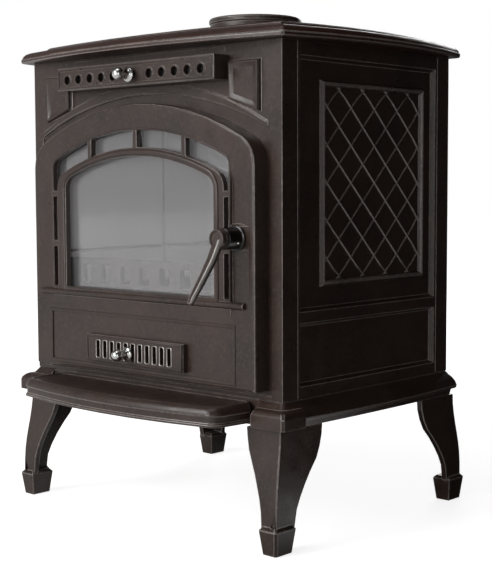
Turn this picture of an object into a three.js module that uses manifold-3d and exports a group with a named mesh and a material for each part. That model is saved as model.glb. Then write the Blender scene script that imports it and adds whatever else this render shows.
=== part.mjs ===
// Cast-iron cabinet stove on four cabriole legs. Millimetres, +Z up, front towards -Y, floor at z = 0.
import * as THREE from 'three';
import { mergeVertices } from 'three/addons/utils/BufferGeometryUtils.js';
import loadManifold from 'manifold-3d';

const wasm = await loadManifold();
wasm.setup();

// Clearances
const GAP = 0.3; // between fixed neighbours
const RUN = 0.4; // round a turning or sliding piece
const EPS = 1; // how far a cutter runs past the face it opens

// Cabinet
const BODY_W = 500;
const BODY_D = 375;
const BODY_H = 464;
const WALL = 8;
const RETURN_D = 30; // depth of the front and back castings along the sides
const LEG_H = 161;
const BASE_H = 35;
const FLOOR_T = 8;

// Planes that everything is set from; heights below are measured from the cabinet's bottom
const BODY_Z = LEG_H + BASE_H;
const HALF_W = BODY_W / 2;
const FRONT = -BODY_D / 2;
const BACK = BODY_D / 2;

// Top plate and flue collar
const TOP_T = 24;
const TOP_SKIN = 9;
const TOP_OVER = { corner: 15.4, back: 10, bowFront: 31, bowSide: 30, radius: 6 };
const TOP_STEP = 28; // how far in the upper tier starts
const COLLAR = { radius: 70.5, wall: 6, height: 41, y: 39, flange: 92, flangeT: 6, spigot: 18, seat: 12 };

// Base and hearth lip
const BASE_OVER = { widest: 15, foot: 6, bow: 12, radius: 6 };
const LIP = {
  half: HALF_W - 44, centre: 95, corner: 75, top: 31, foot: 5, radius: 18, taper: 0.045, wall: 7,
};
const BLOCK = {
  inner: LIP.half + 5, overX: 20, overY: 22.5, behind: 23, top: 9, foot: 2, round: 9, edge: 3,
};

// Legs: rows of drop from the leg top, splay in x and y, width of the front and side faces
const PAD = { height: 37, over: 4, taper: 4, front: 30.5, side: 40, socket: 5 };
const LEG_ROWS = [
  [0, 6.2, 10.6, 60, 84.4],
  [15, 6.2, 11.4, 58, 83.6],
  [30, 6.7, 13.5, 54.2, 81],
  [45, 7.6, 16, 47.9, 75.7],
  [60, 8.7, 18.9, 41.2, 64.7],
  [75, 9.6, 21.6, 35.6, 55.6],
  [90, 10.3, 23.5, 30.8, 47.6],
  [105, 10.5, 24.6, 27.7, 41],
  [LEG_H - PAD.height + PAD.socket, 10, 25.4, 25.3, 37.5],
];
const LEG_WALL = 9;
const LEG_EDGE = 3;

// Front casting
const STILE_W = 19;
const STILE_IN = HALF_W - STILE_W; // half-width between the stiles
const RECESS = 3;
const SURROUND = { half: STILE_IN, bottom: 6, apex: BODY_H - 59, radius: 525, shoulder: 6 };
const MOULDING = { half: STILE_IN - 3, bottom: 6, apex: BODY_H - 43, radius: 455, shoulder: 6 };
const MOULDING_H = 3;
const MOULDING_DROP = 72; // how far the moulding runs down the stiles from its crown

// Upper air bar, and what frames it on the front casting
const BAR = { half: 158.5, bottom: BODY_H - 48, top: BODY_H - 15, off: 30, wall: 5, bead: 5, sunk: 1.2 };
const HOLE = { pitch: 24.6, radius: 6.2, z: BODY_H - 33, first: 1.5, count: 5, lip: 2 };
const BAR_SLIDE_T = 3;
const SPANDREL = {
  inner: BAR.half + 1.5, outer: HALF_W - 35, top: BODY_H - 23, lowIn: BODY_H - 73, lowOut: BODY_H - 91,
  high: 5, bevel: 6, edge: 1.5,
};
const HEADER = { half: BAR.half - 6.5, bottom: BODY_H - 13, top: BODY_H - 4, high: 2 };

// Side castings
const PANEL_DEPTH = 7;
const PANEL_MARGIN = 4.5;
const PANEL_SLOPE = 3;
const PANEL_UP = { bottom: 114, top: BODY_H - 19 };
const PANEL_LOW = { bottom: 16, top: 99 };
const PICTURE = { half: BODY_D / 2 - 70.5, y: 12, bottom: 144, top: BODY_H - 47, width: 10, high: 6 };
const LATTICE = { stepY: 26.2, stepZ: 25.2, rib: 3, high: 2.2, offY: 2, offZ: 0.8 };

// Door: the arches inside it keep their distances from its side and crown
const DOOR = { half: STILE_IN - 7, bottom: 12, apex: SURROUND.apex - 13, radius: 434, shoulder: 42 };
const DOOR_OFF = 24;
const DOOR_SKIN = 9;
const DOOR_RIM = 8;
const DOOR_ROUND = 3.5;
const ROPE_W = 8;
const DOOR_RIB = 4;
const inDoor = ({ side, top, bottom, shoulder }) => ({
  half: DOOR.half - side, bottom, apex: DOOR.apex - top, radius: DOOR.radius - top, shoulder,
});
const SLOTS_OUT = inDoor({ side: 45, top: 36, bottom: 131, shoulder: 12 });
const SLOTS_IN = inDoor({ side: 54, top: 60, bottom: 131, shoulder: 25 });
const WINDOW = inDoor({ side: 73, top: 72, bottom: 131, shoulder: 20 });
const GLASS = inDoor({ side: 40, top: 31, bottom: 121, shoulder: 15 });
const BRIDGE_W = 8;
const BRIDGE_X = [-96, 0, 96];
const BRIDGE_Z = [194.5, DOOR.apex - 124];
const FIELD = {
  inner: DOOR.half - 42, flat: DOOR.half - 27, outer: DOOR.half - 11, bottom: 107, top: DOOR.apex - 92,
  deep: 4,
};
const SILL = { half: DOOR.half - 18, z: 123, radius: 4.5 };
const LOW_PANEL = { half: DOOR.half - 36, bottom: 20, top: 96, deep: 1.5 };
const GLASS_T = 4;
const SEAL_T = 2;
const SEAL_W = 4;
const CLAMP_T = 2.5;

// Hinges and handle
const HINGE = {
  x: STILE_IN, off: 8, pin: 3, knuckle: 6.3, half: 20, neck: 4, head: 2, z: [62, DOOR.apex - 122],
};
const SPINDLE = { x: DOOR.half - 32, z: 211, radius: 6, tenon: 4 };
const HUB = { radius: 14, end: 50, foot: 17, footT: 3 };
const LEVER = { headR: 11, headT: 11, drop: 84, side: 27, reach: 28, rootW: 14, tipW: 10, thick: 10 };
const CAM = { length: 27, width: 13, thick: 6 };
const STRIKE = { inner: DOOR.half - 18, outer: HALF_W - 12, height: 34, high: 3.5 };
const HANDLE_PAD = { below: 14, above: 16, slope: 2 };

// Lower air slide
const SLOT = { pitch: 14.65, width: 7, bottom: 34, top: 58, count: 11 };
const SLIDE_LOW = { half: 99, bottom: 27, top: 66, off: 31.4 };
const KNOB = { ball: 8.5, centre: 22, base: 10.3, rim: 1.6, neck: 4, neckFrom: 10, stem: 2.5, z: 44 };
const STRAP = { half: 22, height: 12, thick: 2.5 };
const ROUNDED = 1.5; // stepped edge of the air bar and of the lower slide

// Firebox
const BRICK_T = 25;
const BRICK_TOP = BODY_H - 68;
const GRATE = { z: 108, thick: 16, bar: 9, slot: 13, slotHalf: 95, each: 5, footX: 18, footY: 11 };
const GUARD = { height: 46, thick: 9, openings: 9, gapHalf: 10, rail: 10, set: 2 };
const PAN = { half: HALF_W - 92, height: 58, wall: 1.5, depth: BODY_D - 95 };
const PULL = { half: 55, out: 18, bar: 6, z: 34 };
const RUNNER_W = 10;
const BAFFLE_T = 8;
const BAFFLE_IN = 60; // smoke way in front of the baffle

// Facets
const BOW_STEPS = 6;
const ARCH_STEPS = 12;
const SHOULDER_STEPS = 4;
const SHOULDER_MIN = 6;
const ROUND_SIDES = 14;
const HOLE_SIDES = 12;
const COLLAR_SIDES = 30;

// Fits between pieces
const SKIN_IN = DOOR_OFF - DOOR_SKIN;
const DOOR_BACK = -RECESS + GAP;
const GLASS_FRONT = SKIN_IN - SEAL_T - 2 * GAP;
const SIDE_IN = HALF_W - PANEL_DEPTH - WALL + 3;
const OPENING_IN = DOOR_RIM + ROPE_W + 3;
const RAIL_TOP = DOOR.bottom + OPENING_IN + 1;
const CAM_FRONT = -WALL - STRIKE.high - RUN;
const STEM_LOW_X = -SLOT.pitch / 2;
const TRAVEL_UP = HOLE.pitch / 4;
const BED_FRONT = FRONT + RETURN_D + 2 * GAP;
const BED_BACK = BACK - WALL - GAP - BRICK_T;
const BRICK_Z0 = GRATE.z + GRATE.thick + GAP;

const IRON = new THREE.MeshStandardMaterial({ color: 0x3a322f, roughness: 0.45, metalness: 0.35 });
const TOP_IRON = new THREE.MeshStandardMaterial({ color: 0x33241f, roughness: 0.5, metalness: 0.3 });
const CHROME = new THREE.MeshStandardMaterial({ color: 0xd8d8d6, roughness: 0.12, metalness: 1 });
const STEEL = new THREE.MeshStandardMaterial({ color: 0x77777a, roughness: 0.4, metalness: 0.9 });
const CLEAR = new THREE.MeshStandardMaterial({ color: 0xdfe4e4, roughness: 0.08, metalness: 0 });
const ROPE = new THREE.MeshStandardMaterial({ color: 0x8c8a84, roughness: 0.95, metalness: 0 });
const BRICK = new THREE.MeshStandardMaterial({ color: 0xc2ab84, roughness: 0.9, metalness: 0 });

// World y of a plane that stands a distance in front of the cabinet's face
const ahead = (off) => FRONT - off;

function dropFlatTriangles(index) {
  const kept = [];
  for (let i = 0; i < index.length; i += 3) {
    const [a, b, c] = [index[i], index[i + 1], index[i + 2]];
    if (a !== b && b !== c && c !== a) kept.push(a, b, c);
  }
  return kept;
}

function signedVolume(position, index) {
  const [a, b, c] = [new THREE.Vector3(), new THREE.Vector3(), new THREE.Vector3()];
  let volume = 0;
  for (let i = 0; i < index.length; i += 3) {
    a.fromBufferAttribute(position, index[i]);
    b.fromBufferAttribute(position, index[i + 1]);
    c.fromBufferAttribute(position, index[i + 2]);
    volume += a.dot(b.cross(c)) / 6;
  }
  return volume;
}

// A closed solid from any closed geometry, faces turned outwards
function solidOf(geometry) {
  geometry.deleteAttribute('normal');
  geometry.deleteAttribute('uv');
  const merged = mergeVertices(geometry, 1e-4);
  const position = merged.attributes.position;
  const index = dropFlatTriangles(merged.index.array);
  if (signedVolume(position, index) < 0) index.reverse();
  return new wasm.Manifold(new wasm.Mesh({
    numProp: 3,
    vertProperties: new Float32Array(position.array),
    triVerts: new Uint32Array(index),
  }));
}

// Which two coordinates a ring is flat in
const IN_PLAN = ([x, y]) => new THREE.Vector2(x, y);
const IN_FRONT = ([x, , z]) => new THREE.Vector2(x, z);
const IN_SIDE = ([, y, z]) => new THREE.Vector2(y, z);

// Solid through rings of equal point count, each ring flat in the view given
function loft(rings, view) {
  const turned = THREE.ShapeUtils.area(rings[0].map(view)) < 0;
  const levels = turned ? rings.map((ring) => [...ring].reverse()) : rings;
  const count = levels[0].length;
  const index = [];
  for (let level = 0; level < levels.length - 1; level += 1) {
    for (let i = 0; i < count; i += 1) {
      const a = level * count + i;
      const b = level * count + ((i + 1) % count);
      index.push(a, b, b + count, a, b + count, a + count);
    }
  }
  const top = (levels.length - 1) * count;
  for (const [i, j, k] of THREE.ShapeUtils.triangulateShape(levels[0].map(view), [])) {
    index.push(i, k, j);
  }
  for (const [i, j, k] of THREE.ShapeUtils.triangulateShape(levels.at(-1).map(view), [])) {
    index.push(top + i, top + j, top + k);
  }
  const geometry = new THREE.BufferGeometry();
  geometry.setAttribute('position', new THREE.Float32BufferAttribute(levels.flat(2), 3));
  geometry.setIndex(index);
  return solidOf(geometry);
}

// An outline pushed straight through: upwards from the plan, backwards from the front, or sideways
function standing(points, z0, z1) {
  return loft([z0, z1].map((z) => points.map(([x, y]) => [x, y, z])), IN_PLAN);
}

function facing(points, y0, y1) {
  return loft([y0, y1].map((y) => points.map(([x, z]) => [x, y, z])), IN_FRONT);
}

function across(points, x0, x1) {
  return loft([x0, x1].map((x) => points.map(([y, z]) => [x, y, z])), IN_SIDE);
}

function block(x0, x1, y0, y1, z0, z1) {
  return standing([[x0, y0], [x1, y0], [x1, y1], [x0, y1]], z0, z1);
}

function circle(u, v, radius, sides = ROUND_SIDES) {
  return Array.from({ length: sides }, (_, i) => {
    const angle = (2 * Math.PI * (i + 0.5)) / sides;
    return [u + radius * Math.cos(angle), v + radius * Math.sin(angle)];
  });
}

const ordered = (a, b) => [Math.min(a, b), Math.max(a, b)];
const mirrored = (points, side) => points.map(([x, z]) => [side * x, z]);

const joinAll = (solids) => solids.reduce((whole, solid) => whole.add(solid));
const cutAll = (solid, cutters) => cutters.reduce((rest, cutter) => rest.subtract(cutter), solid);

// Rounded-corner rectangle with bowed edges, as plan points; bows are added at mid-edge
function bowedPlan({ half, front, back, radius, bowFront = 0, bowSide = 0, bowBack = 0 }) {
  const turns = 3;
  const sides = [
    { from: [-half + radius, front], to: [half - radius, front], out: [0, -1], bow: bowFront },
    { from: [half, front + radius], to: [half, back - radius], out: [1, 0], bow: bowSide },
    { from: [half - radius, back], to: [-half + radius, back], out: [0, 1], bow: bowBack },
    { from: [-half, back - radius], to: [-half, front + radius], out: [-1, 0], bow: bowSide },
  ];
  const points = [];
  sides.forEach(({ from, to, out, bow }, side) => {
    const steps = bow ? BOW_STEPS : 1;
    for (let i = 0; i <= steps; i += 1) {
      const t = i / steps;
      const rise = bow * (1 - (2 * t - 1) ** 2);
      points.push([0, 1].map((k) => from[k] + (to[k] - from[k]) * t + out[k] * rise));
    }
    const centre = [to[0] - out[0] * radius, to[1] - out[1] * radius];
    const start = (side - 1) * (Math.PI / 2);
    for (let i = 1; i < turns; i += 1) {
      const angle = start + (Math.PI / 2) * (i / turns);
      points.push([centre[0] + radius * Math.cos(angle), centre[1] + radius * Math.sin(angle)]);
    }
  });
  return points;
}

// Low arch on straight sides with rounded shoulders, as front points above the floor
function archOutline({ half, bottom, apex, radius, shoulder }, inset = 0) {
  const r = radius - inset;
  const side = half - inset;
  const round = Math.max(shoulder - inset, Math.min(shoulder, SHOULDER_MIN));
  const centreZ = apex - radius;
  const roundX = side - round;
  const roundZ = centreZ + Math.sqrt((r - round) ** 2 - roundX ** 2);
  const tangent = Math.atan2(roundZ - centreZ, roundX);
  const points = [[-side, bottom + inset], [side, bottom + inset]];
  for (let i = 0; i <= SHOULDER_STEPS; i += 1) {
    const angle = tangent * (i / SHOULDER_STEPS);
    points.push([roundX + round * Math.cos(angle), roundZ + round * Math.sin(angle)]);
  }
  for (let i = 1; i < ARCH_STEPS; i += 1) {
    const angle = tangent + (Math.PI - 2 * tangent) * (i / ARCH_STEPS);
    points.push([r * Math.cos(angle), centreZ + r * Math.sin(angle)]);
  }
  for (let i = SHOULDER_STEPS; i >= 0; i -= 1) {
    const angle = tangent * (i / SHOULDER_STEPS);
    points.push([-roundX - round * Math.cos(angle), roundZ + round * Math.sin(angle)]);
  }
  return points.map(([x, z]) => [x, BODY_Z + z]);
}

// The next three take heights from the cabinet's bottom and depths ahead of its face
function arch(outline, off0, off1, inset = 0) {
  return facing(archOutline(outline, inset), ahead(off1), ahead(off0));
}

function slab(x0, x1, off0, off1, z0, z1) {
  return block(x0, x1, ahead(off1), ahead(off0), BODY_Z + z0, BODY_Z + z1);
}

function peg(x, z, radius, off0, off1, sides = ROUND_SIDES) {
  return facing(circle(x, BODY_Z + z, radius, sides), ahead(off1), ahead(off0));
}

// A raised or sunk patch whose edges slope: the outer points at one depth, the inner at another
function slopedPatch(outer, inner, off0, off1) {
  const ring = (points, off) => points.map(([x, z]) => [x, ahead(off), BODY_Z + z]);
  return loft([ring(outer, off0), ring(inner, off1)], IN_FRONT);
}

// Cabriole leg: an angle section swelling at the knee, on a tapered pad
function leg(sx, sy) {
  const section = ([drop, splayX, splayY, front, side]) => {
    const x = HALF_W + splayX;
    const y = BODY_D / 2 + splayY;
    const outline = [
      [x - front, y], [x - LEG_EDGE, y], [x - LEG_EDGE * 0.3, y - LEG_EDGE * 0.3], [x, y - LEG_EDGE],
      [x, y - side], [x - LEG_WALL, y - side], [x - LEG_WALL, y - LEG_WALL], [x - front, y - LEG_WALL],
    ];
    return outline.map(([u, v]) => [sx * u, sy * v, LEG_H - GAP - drop]);
  };
  const ankle = LEG_ROWS.at(-1);
  const padRing = (z, shrink) => {
    const x = HALF_W + ankle[1] + PAD.over - shrink;
    const y = BODY_D / 2 + ankle[2] + PAD.over - shrink;
    const outline = [
      [x - PAD.front + 2 * shrink, y], [x - LEG_EDGE, y], [x, y - LEG_EDGE],
      [x, y - PAD.side + 2 * shrink], [x - PAD.front + 2 * shrink, y - PAD.side + 2 * shrink],
    ];
    return outline.map(([u, v]) => [sx * u, sy * v, z]);
  };
  const shank = loft(LEG_ROWS.map(section), IN_PLAN);
  const lipZ = PAD.height - PAD.taper;
  const pad = loft([padRing(0, PAD.taper), padRing(lipZ, 0), padRing(PAD.height, PAD.taper)], IN_PLAN);
  return shank.add(pad);
}

// Moulded base: ovolo, undercut and apron, open underneath, with a block over each front leg
function basePlate() {
  const { widest, foot, bow, radius } = BASE_OVER;
  const ring = (over, z) => bowedPlan({
    half: HALF_W + over,
    front: FRONT - over,
    back: BACK + over,
    radius: radius + over / 2,
    bowSide: bow * (over / widest),
  }).map(([x, y]) => [x, y, z]);
  const profile = [
    [foot, LEG_H], [foot + 2, LEG_H + 9], [widest - 1, LEG_H + 10], [widest, LEG_H + 14],
    [widest * 0.87, LEG_H + 20], [widest * 0.6, LEG_H + 26], [widest * 0.27, LEG_H + 31], [1, BODY_Z],
  ];
  const moulded = loft(profile.map(([over, z]) => ring(over, z)), IN_PLAN);
  const under = block(
    -HALF_W + WALL, HALF_W - WALL, FRONT + WALL, BACK - WALL, LEG_H - EPS, BODY_Z - FLOOR_T,
  );
  const lipSeat = block(-BLOCK.inner, BLOCK.inner, ahead(2 * widest), FRONT, LEG_H - EPS, BODY_Z + EPS);
  const runners = [-1, 1].map((side) => {
    const x = side * (PAN.half - 2 * RUNNER_W);
    const [y0, y1] = [FRONT + WALL + RETURN_D, BACK - WALL - RETURN_D];
    return block(x - RUNNER_W / 2, x + RUNNER_W / 2, y0, y1, BODY_Z - EPS, BODY_Z + RAIL_TOP);
  });
  const whole = joinAll([moulded, cornerBlock(-1), cornerBlock(1)]);
  return joinAll([cutAll(whole, [under, lipSeat]), ...runners]);
}

// Block over a front leg, its upper and outer edges rolled over
function cornerBlock(side) {
  const { inner, overX, overY, behind, top, foot, round, edge } = BLOCK;
  const ring = (inset, z) => {
    const [x0, x1] = [inner + inset / 2, HALF_W + overX - inset];
    const [y0, y1] = [ahead(overY - inset), ahead(-behind)];
    return [
      [x0, y1], [x0, y0 + edge], [x0 + edge, y0], [x1 - edge, y0], [x1, y0 + edge], [x1, y1],
    ].map(([x, y]) => [side * x, y, z]);
  };
  const z1 = BODY_Z - top;
  return loft([
    ring(0, LEG_H + foot), ring(0, z1 - round), ring(1.5, z1 - 0.6 * round), ring(4.5, z1 - 0.25 * round),
    ring(round, z1),
  ], IN_PLAN);
}

// Bow-fronted hearth lip with a rolled upper edge, hollow underneath
function ashLip() {
  const depth = LIP.centre;
  const ring = (inset, z) => bowedPlan({
    half: LIP.half - inset,
    front: ahead(LIP.corner - inset),
    back: ahead(GAP),
    radius: LIP.radius - inset / 2,
    bowFront: LIP.centre - LIP.corner,
  }).map(([x, y]) => [x * (1 - LIP.taper * Math.max(0, (FRONT - y) / depth)), y, z]);
  const top = BODY_Z - BASE_H + LIP.top;
  const foot = BODY_Z - BASE_H + LIP.foot;
  const profile = [
    [0, foot], [0, foot + 3], [2, foot + 5], [2, top - 12], [0, top - 11.5], [0.6, top - 8],
    [2.6, top - 4], [5.6, top - 1.2], [9, top], [13, top - 1.5],
  ];
  const moulded = loft(profile.map(([inset, z]) => ring(inset, z)), IN_PLAN);
  const hollow = bowedPlan({
    half: LIP.half - 2.5 * LIP.wall,
    front: ahead(LIP.corner - 1.5 * LIP.wall),
    back: ahead(LIP.wall),
    radius: LIP.radius - LIP.wall,
    bowFront: LIP.centre - LIP.corner,
  });
  return moulded.subtract(standing(hollow, foot - EPS, top - LIP.wall - 2));
}

// Front casting: a tray with the door opening, arch moulding, spandrels and hinge lugs
function frontPlate() {
  const bottom = BODY_Z + GAP;
  const top = BODY_Z + BODY_H - GAP;
  const tray = block(-HALF_W, HALF_W, FRONT, FRONT + RETURN_D, bottom, top);
  const inside = block(
    -HALF_W + WALL, HALF_W - WALL, FRONT + WALL, FRONT + RETURN_D + EPS, bottom + WALL, top - WALL,
  );
  const sunk = arch(SURROUND, -RECESS, EPS);
  const opening = arch(DOOR, -WALL - EPS, EPS, OPENING_IN);
  const airSlots = [-1, 1].map((side) => {
    const [x0, x1] = ordered(side * 2 * WALL, side * (BAR.half - 2 * WALL));
    return slab(x0, x1, -WALL - EPS, EPS, HOLE.z - HOLE.radius, HOLE.z + HOLE.radius);
  });
  const barSeat = slab(
    -BAR.half - GAP, BAR.half + GAP, 0, MOULDING_H + EPS, BAR.bottom - GAP, BAR.top + GAP,
  );
  const header = slab(-HEADER.half, HEADER.half, -0.5, HEADER.high, HEADER.bottom, HEADER.top);
  const strike = slab(
    STRIKE.inner, STRIKE.outer, -WALL - STRIKE.high, -WALL + 0.5, SPINDLE.z - STRIKE.height / 2,
    SPINDLE.z + STRIKE.height / 2,
  );
  const lugs = HINGE.z.map((z) => hingeLug(z - HINGE.half, z - GAP, false));
  const shell = cutAll(tray, [inside, sunk, opening, ...airSlots]);
  const details = [archMoulding().subtract(barSeat), spandrel(-1), spandrel(1), header, strike];
  return joinAll([shell, ...details, ...lugs]);
}

// Two-step moulding that crowns the recess and dies out down the stiles
function archMoulding() {
  const crown = slab(
    -STILE_IN, STILE_IN, -EPS, MOULDING_H + EPS, MOULDING.apex - MOULDING_DROP, MOULDING.apex + EPS,
  );
  const steps = [1, 2].map((step) => {
    const inset = (step - 1) * (MOULDING_H / 2);
    const outer = arch(MOULDING, -RECESS / 2, (MOULDING_H / 2) * step, inset);
    return outer.subtract(arch(SURROUND, -RECESS - EPS, MOULDING_H + EPS, -inset));
  });
  return joinAll(steps).intersect(crown);
}

// Raised corner panel between the moulding and the air bar
function spandrel(side) {
  const { inner, outer, top, lowIn, lowOut, high, bevel, edge } = SPANDREL;
  const base = [[inner, top], [outer, top], [outer, lowOut], [inner, lowIn]];
  const face = [
    [inner + bevel, top - edge], [outer - edge, top - edge], [outer - edge, lowOut + edge],
    [inner + bevel, lowIn + edge / 3],
  ];
  return slopedPatch(mirrored(base, side), mirrored(face, side), -EPS / 2, high);
}

// One hinge knuckle with its neck, either on the frame or on the door's edge
function hingeLug(z0, z1, onDoor) {
  const axisY = ahead(HINGE.off);
  const barrel = standing(circle(-HINGE.x, axisY, HINGE.knuckle), BODY_Z + z0, BODY_Z + z1);
  const { neck: half, off, knuckle } = HINGE;
  const neck = onDoor
    ? slab(-HINGE.x, -DOOR.half + half / 2, off - half, off + half, z0, z1)
    : slab(-HINGE.x - knuckle + EPS, -HINGE.x + half, -RECESS - EPS, off, z0, z1);
  const bore = standing(circle(-HINGE.x, axisY, HINGE.pin + RUN), BODY_Z + z0 - EPS, BODY_Z + z1 + EPS);
  return barrel.add(neck).subtract(bore);
}

function hingePin(z) {
  const [x, y] = [-HINGE.x, ahead(HINGE.off)];
  const headFrom = BODY_Z + z + HINGE.half + GAP;
  const headTop = headFrom + 2 * HINGE.head;
  const shaft = standing(circle(x, y, HINGE.pin), BODY_Z + z - HINGE.half, headTop);
  return shaft.add(standing(circle(x, y, HINGE.pin + HINGE.head), headFrom, headTop - GAP));
}

// Side casting: two sunk panels, the upper one framing a diamond lattice in relief
function sidePlate(side) {
  const y0 = FRONT + RETURN_D + GAP;
  const y1 = BACK - RETURN_D - GAP;
  const floorX = HALF_W - PANEL_DEPTH;
  const slabX = (a, b, from, to, z0, z1) => {
    const [x0, x1] = ordered(side * a, side * b);
    return block(x0, x1, from, to, BODY_Z + z0, BODY_Z + z1);
  };
  const plate = slabX(SIDE_IN, HALF_W, y0, y1, GAP, BODY_H - GAP);
  const sunk = [PANEL_UP, PANEL_LOW].map(({ bottom, top }) => {
    const ring = (inset, x) => [
      [y0 + PANEL_MARGIN + inset, bottom + inset], [y1 - PANEL_MARGIN - inset, bottom + inset],
      [y1 - PANEL_MARGIN - inset, top - inset], [y0 + PANEL_MARGIN + inset, top - inset],
    ].map(([y, z]) => [side * x, y, BODY_Z + z]);
    return loft([ring(PANEL_SLOPE, floorX), ring(0, HALF_W), ring(0, HALF_W + EPS)], IN_SIDE);
  });
  const { half, bottom, top, width, high } = PICTURE;
  const [near, far] = [PICTURE.y - half, PICTURE.y + half];
  const frameOuter = slabX(floorX - EPS, floorX + high, near, far, bottom, top);
  const frameInner = slabX(
    floorX - 2 * EPS, floorX + high + EPS, near + width, far - width, bottom + width, top - width,
  );
  const picture = frameOuter.subtract(frameInner);
  const ribs = lattice(side, floorX).intersect(
    slabX(floorX - 2 * EPS, HALF_W, near + EPS, far - EPS, bottom + EPS, top - EPS),
  );
  return joinAll([cutAll(plate, sunk), picture, ribs]);
}

// Crossing ribs of the diamond lattice, each a bar with sloped flanks
function lattice(side, floorX) {
  const { stepY, stepZ, rib, high } = LATTICE;
  const midY = PICTURE.y + LATTICE.offY;
  const midZ = BODY_Z + (PICTURE.bottom + PICTURE.top) / 2 + LATTICE.offZ;
  const reachAlong = Math.hypot(PICTURE.half, PICTURE.top - PICTURE.bottom);
  const slope = Math.atan2(stepZ, stepY);
  const reach = Math.ceil((PICTURE.half / stepY + (PICTURE.top - PICTURE.bottom) / (2 * stepZ)) / 2);
  const bars = [];
  for (const lean of [-1, 1]) {
    for (let k = -reach; k <= reach; k += 1) {
      const y = midY + 2 * k * stepY;
      const along = [Math.cos(lean * slope), Math.sin(lean * slope)];
      const normal = [-along[1], along[0]];
      const ring = (width, x) => [[-1, -1], [1, -1], [1, 1], [-1, 1]].map(([a, b]) => [
        side * x,
        y + along[0] * a * reachAlong + normal[0] * b * (width / 2),
        midZ + along[1] * a * reachAlong + normal[1] * b * (width / 2),
      ]);
      bars.push(loft([ring(rib * 1.4, floorX - EPS), ring(rib * 0.5, floorX + high)], IN_SIDE));
    }
  }
  return joinAll(bars);
}

// Back casting: a plain tray whose returns meet the sides
function backPlate() {
  const bottom = BODY_Z + GAP;
  const top = BODY_Z + BODY_H - GAP;
  const tray = block(-HALF_W, HALF_W, BACK - RETURN_D, BACK, bottom, top);
  const inside = block(
    -HALF_W + WALL, HALF_W - WALL, BACK - RETURN_D - EPS, BACK - WALL, bottom + WALL, top - WALL,
  );
  return tray.subtract(inside);
}

// Top plate: bowed moulded edge in two tiers, hollow underneath, bored for the flue
function topPlate() {
  const { corner, back, bowFront, bowSide, radius } = TOP_OVER;
  const z0 = BODY_Z + BODY_H;
  const ring = (inset, z) => bowedPlan({
    half: HALF_W + corner - inset,
    front: FRONT - corner + inset,
    back: BACK + back - inset * 0.6,
    radius: Math.max(radius - inset / 3, 3),
    bowFront: bowFront * (1 - inset / 90),
    bowSide: bowSide * (1 - inset / 130),
  }).map(([x, y]) => [x, y, z]);
  const profile = [
    [2, z0], [0, z0 + 1.5], [0, z0 + 6], [1.2, z0 + 7], [2.4, z0 + 10.5], [5.5, z0 + 13.8], [10, z0 + 16],
    [15, z0 + 16.8], [TOP_STEP - 2, z0 + 17.4], [TOP_STEP, z0 + 18.5], [TOP_STEP + 1.2, z0 + 22],
    [TOP_STEP + 4.5, z0 + TOP_T],
  ];
  const moulded = loft(profile.map(([inset, z]) => ring(inset, z)), IN_PLAN);
  const hollow = block(
    -HALF_W + 2 * WALL, HALF_W - 2 * WALL, FRONT + 2 * WALL, BACK - 2 * WALL, z0 - EPS,
    z0 + TOP_T - TOP_SKIN,
  );
  const mouth = circle(0, COLLAR.y, COLLAR.radius - COLLAR.wall, COLLAR_SIDES);
  return cutAll(moulded, [hollow, standing(mouth, z0 - EPS, z0 + TOP_T + EPS)]);
}

// Flue collar: bolted flange, socket with a rolled rim, and a spigot down through the plate
function flueCollar() {
  const z0 = BODY_Z + BODY_H + TOP_T + GAP;
  const { radius, wall, height, flange, flangeT, spigot, seat } = COLLAR;
  const bore = radius - 2 * wall;
  const plug = radius - wall - 2 * GAP;
  const rim = z0 + height - GAP;
  const step = z0 + flangeT;
  const profile = [
    [bore, z0 - spigot], [plug, z0 - spigot], [plug, z0], [flange, z0], [flange, step - 1.5],
    [flange - 1.5, step], [radius + 3, step], [radius - 1, step + 4], [radius - 2, rim - 9],
    [radius, rim - 7], [radius, rim - 2], [radius - 2, rim], [radius - wall, rim],
    [radius - wall, z0 + seat], [bore, z0 + seat], [bore, z0 - spigot],
  ];
  const geometry = new THREE.LatheGeometry(profile.map(([r, z]) => new THREE.Vector2(r, z)), COLLAR_SIDES);
  geometry.rotateX(Math.PI / 2);
  geometry.translate(0, COLLAR.y, 0);
  return solidOf(geometry);
}

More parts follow.
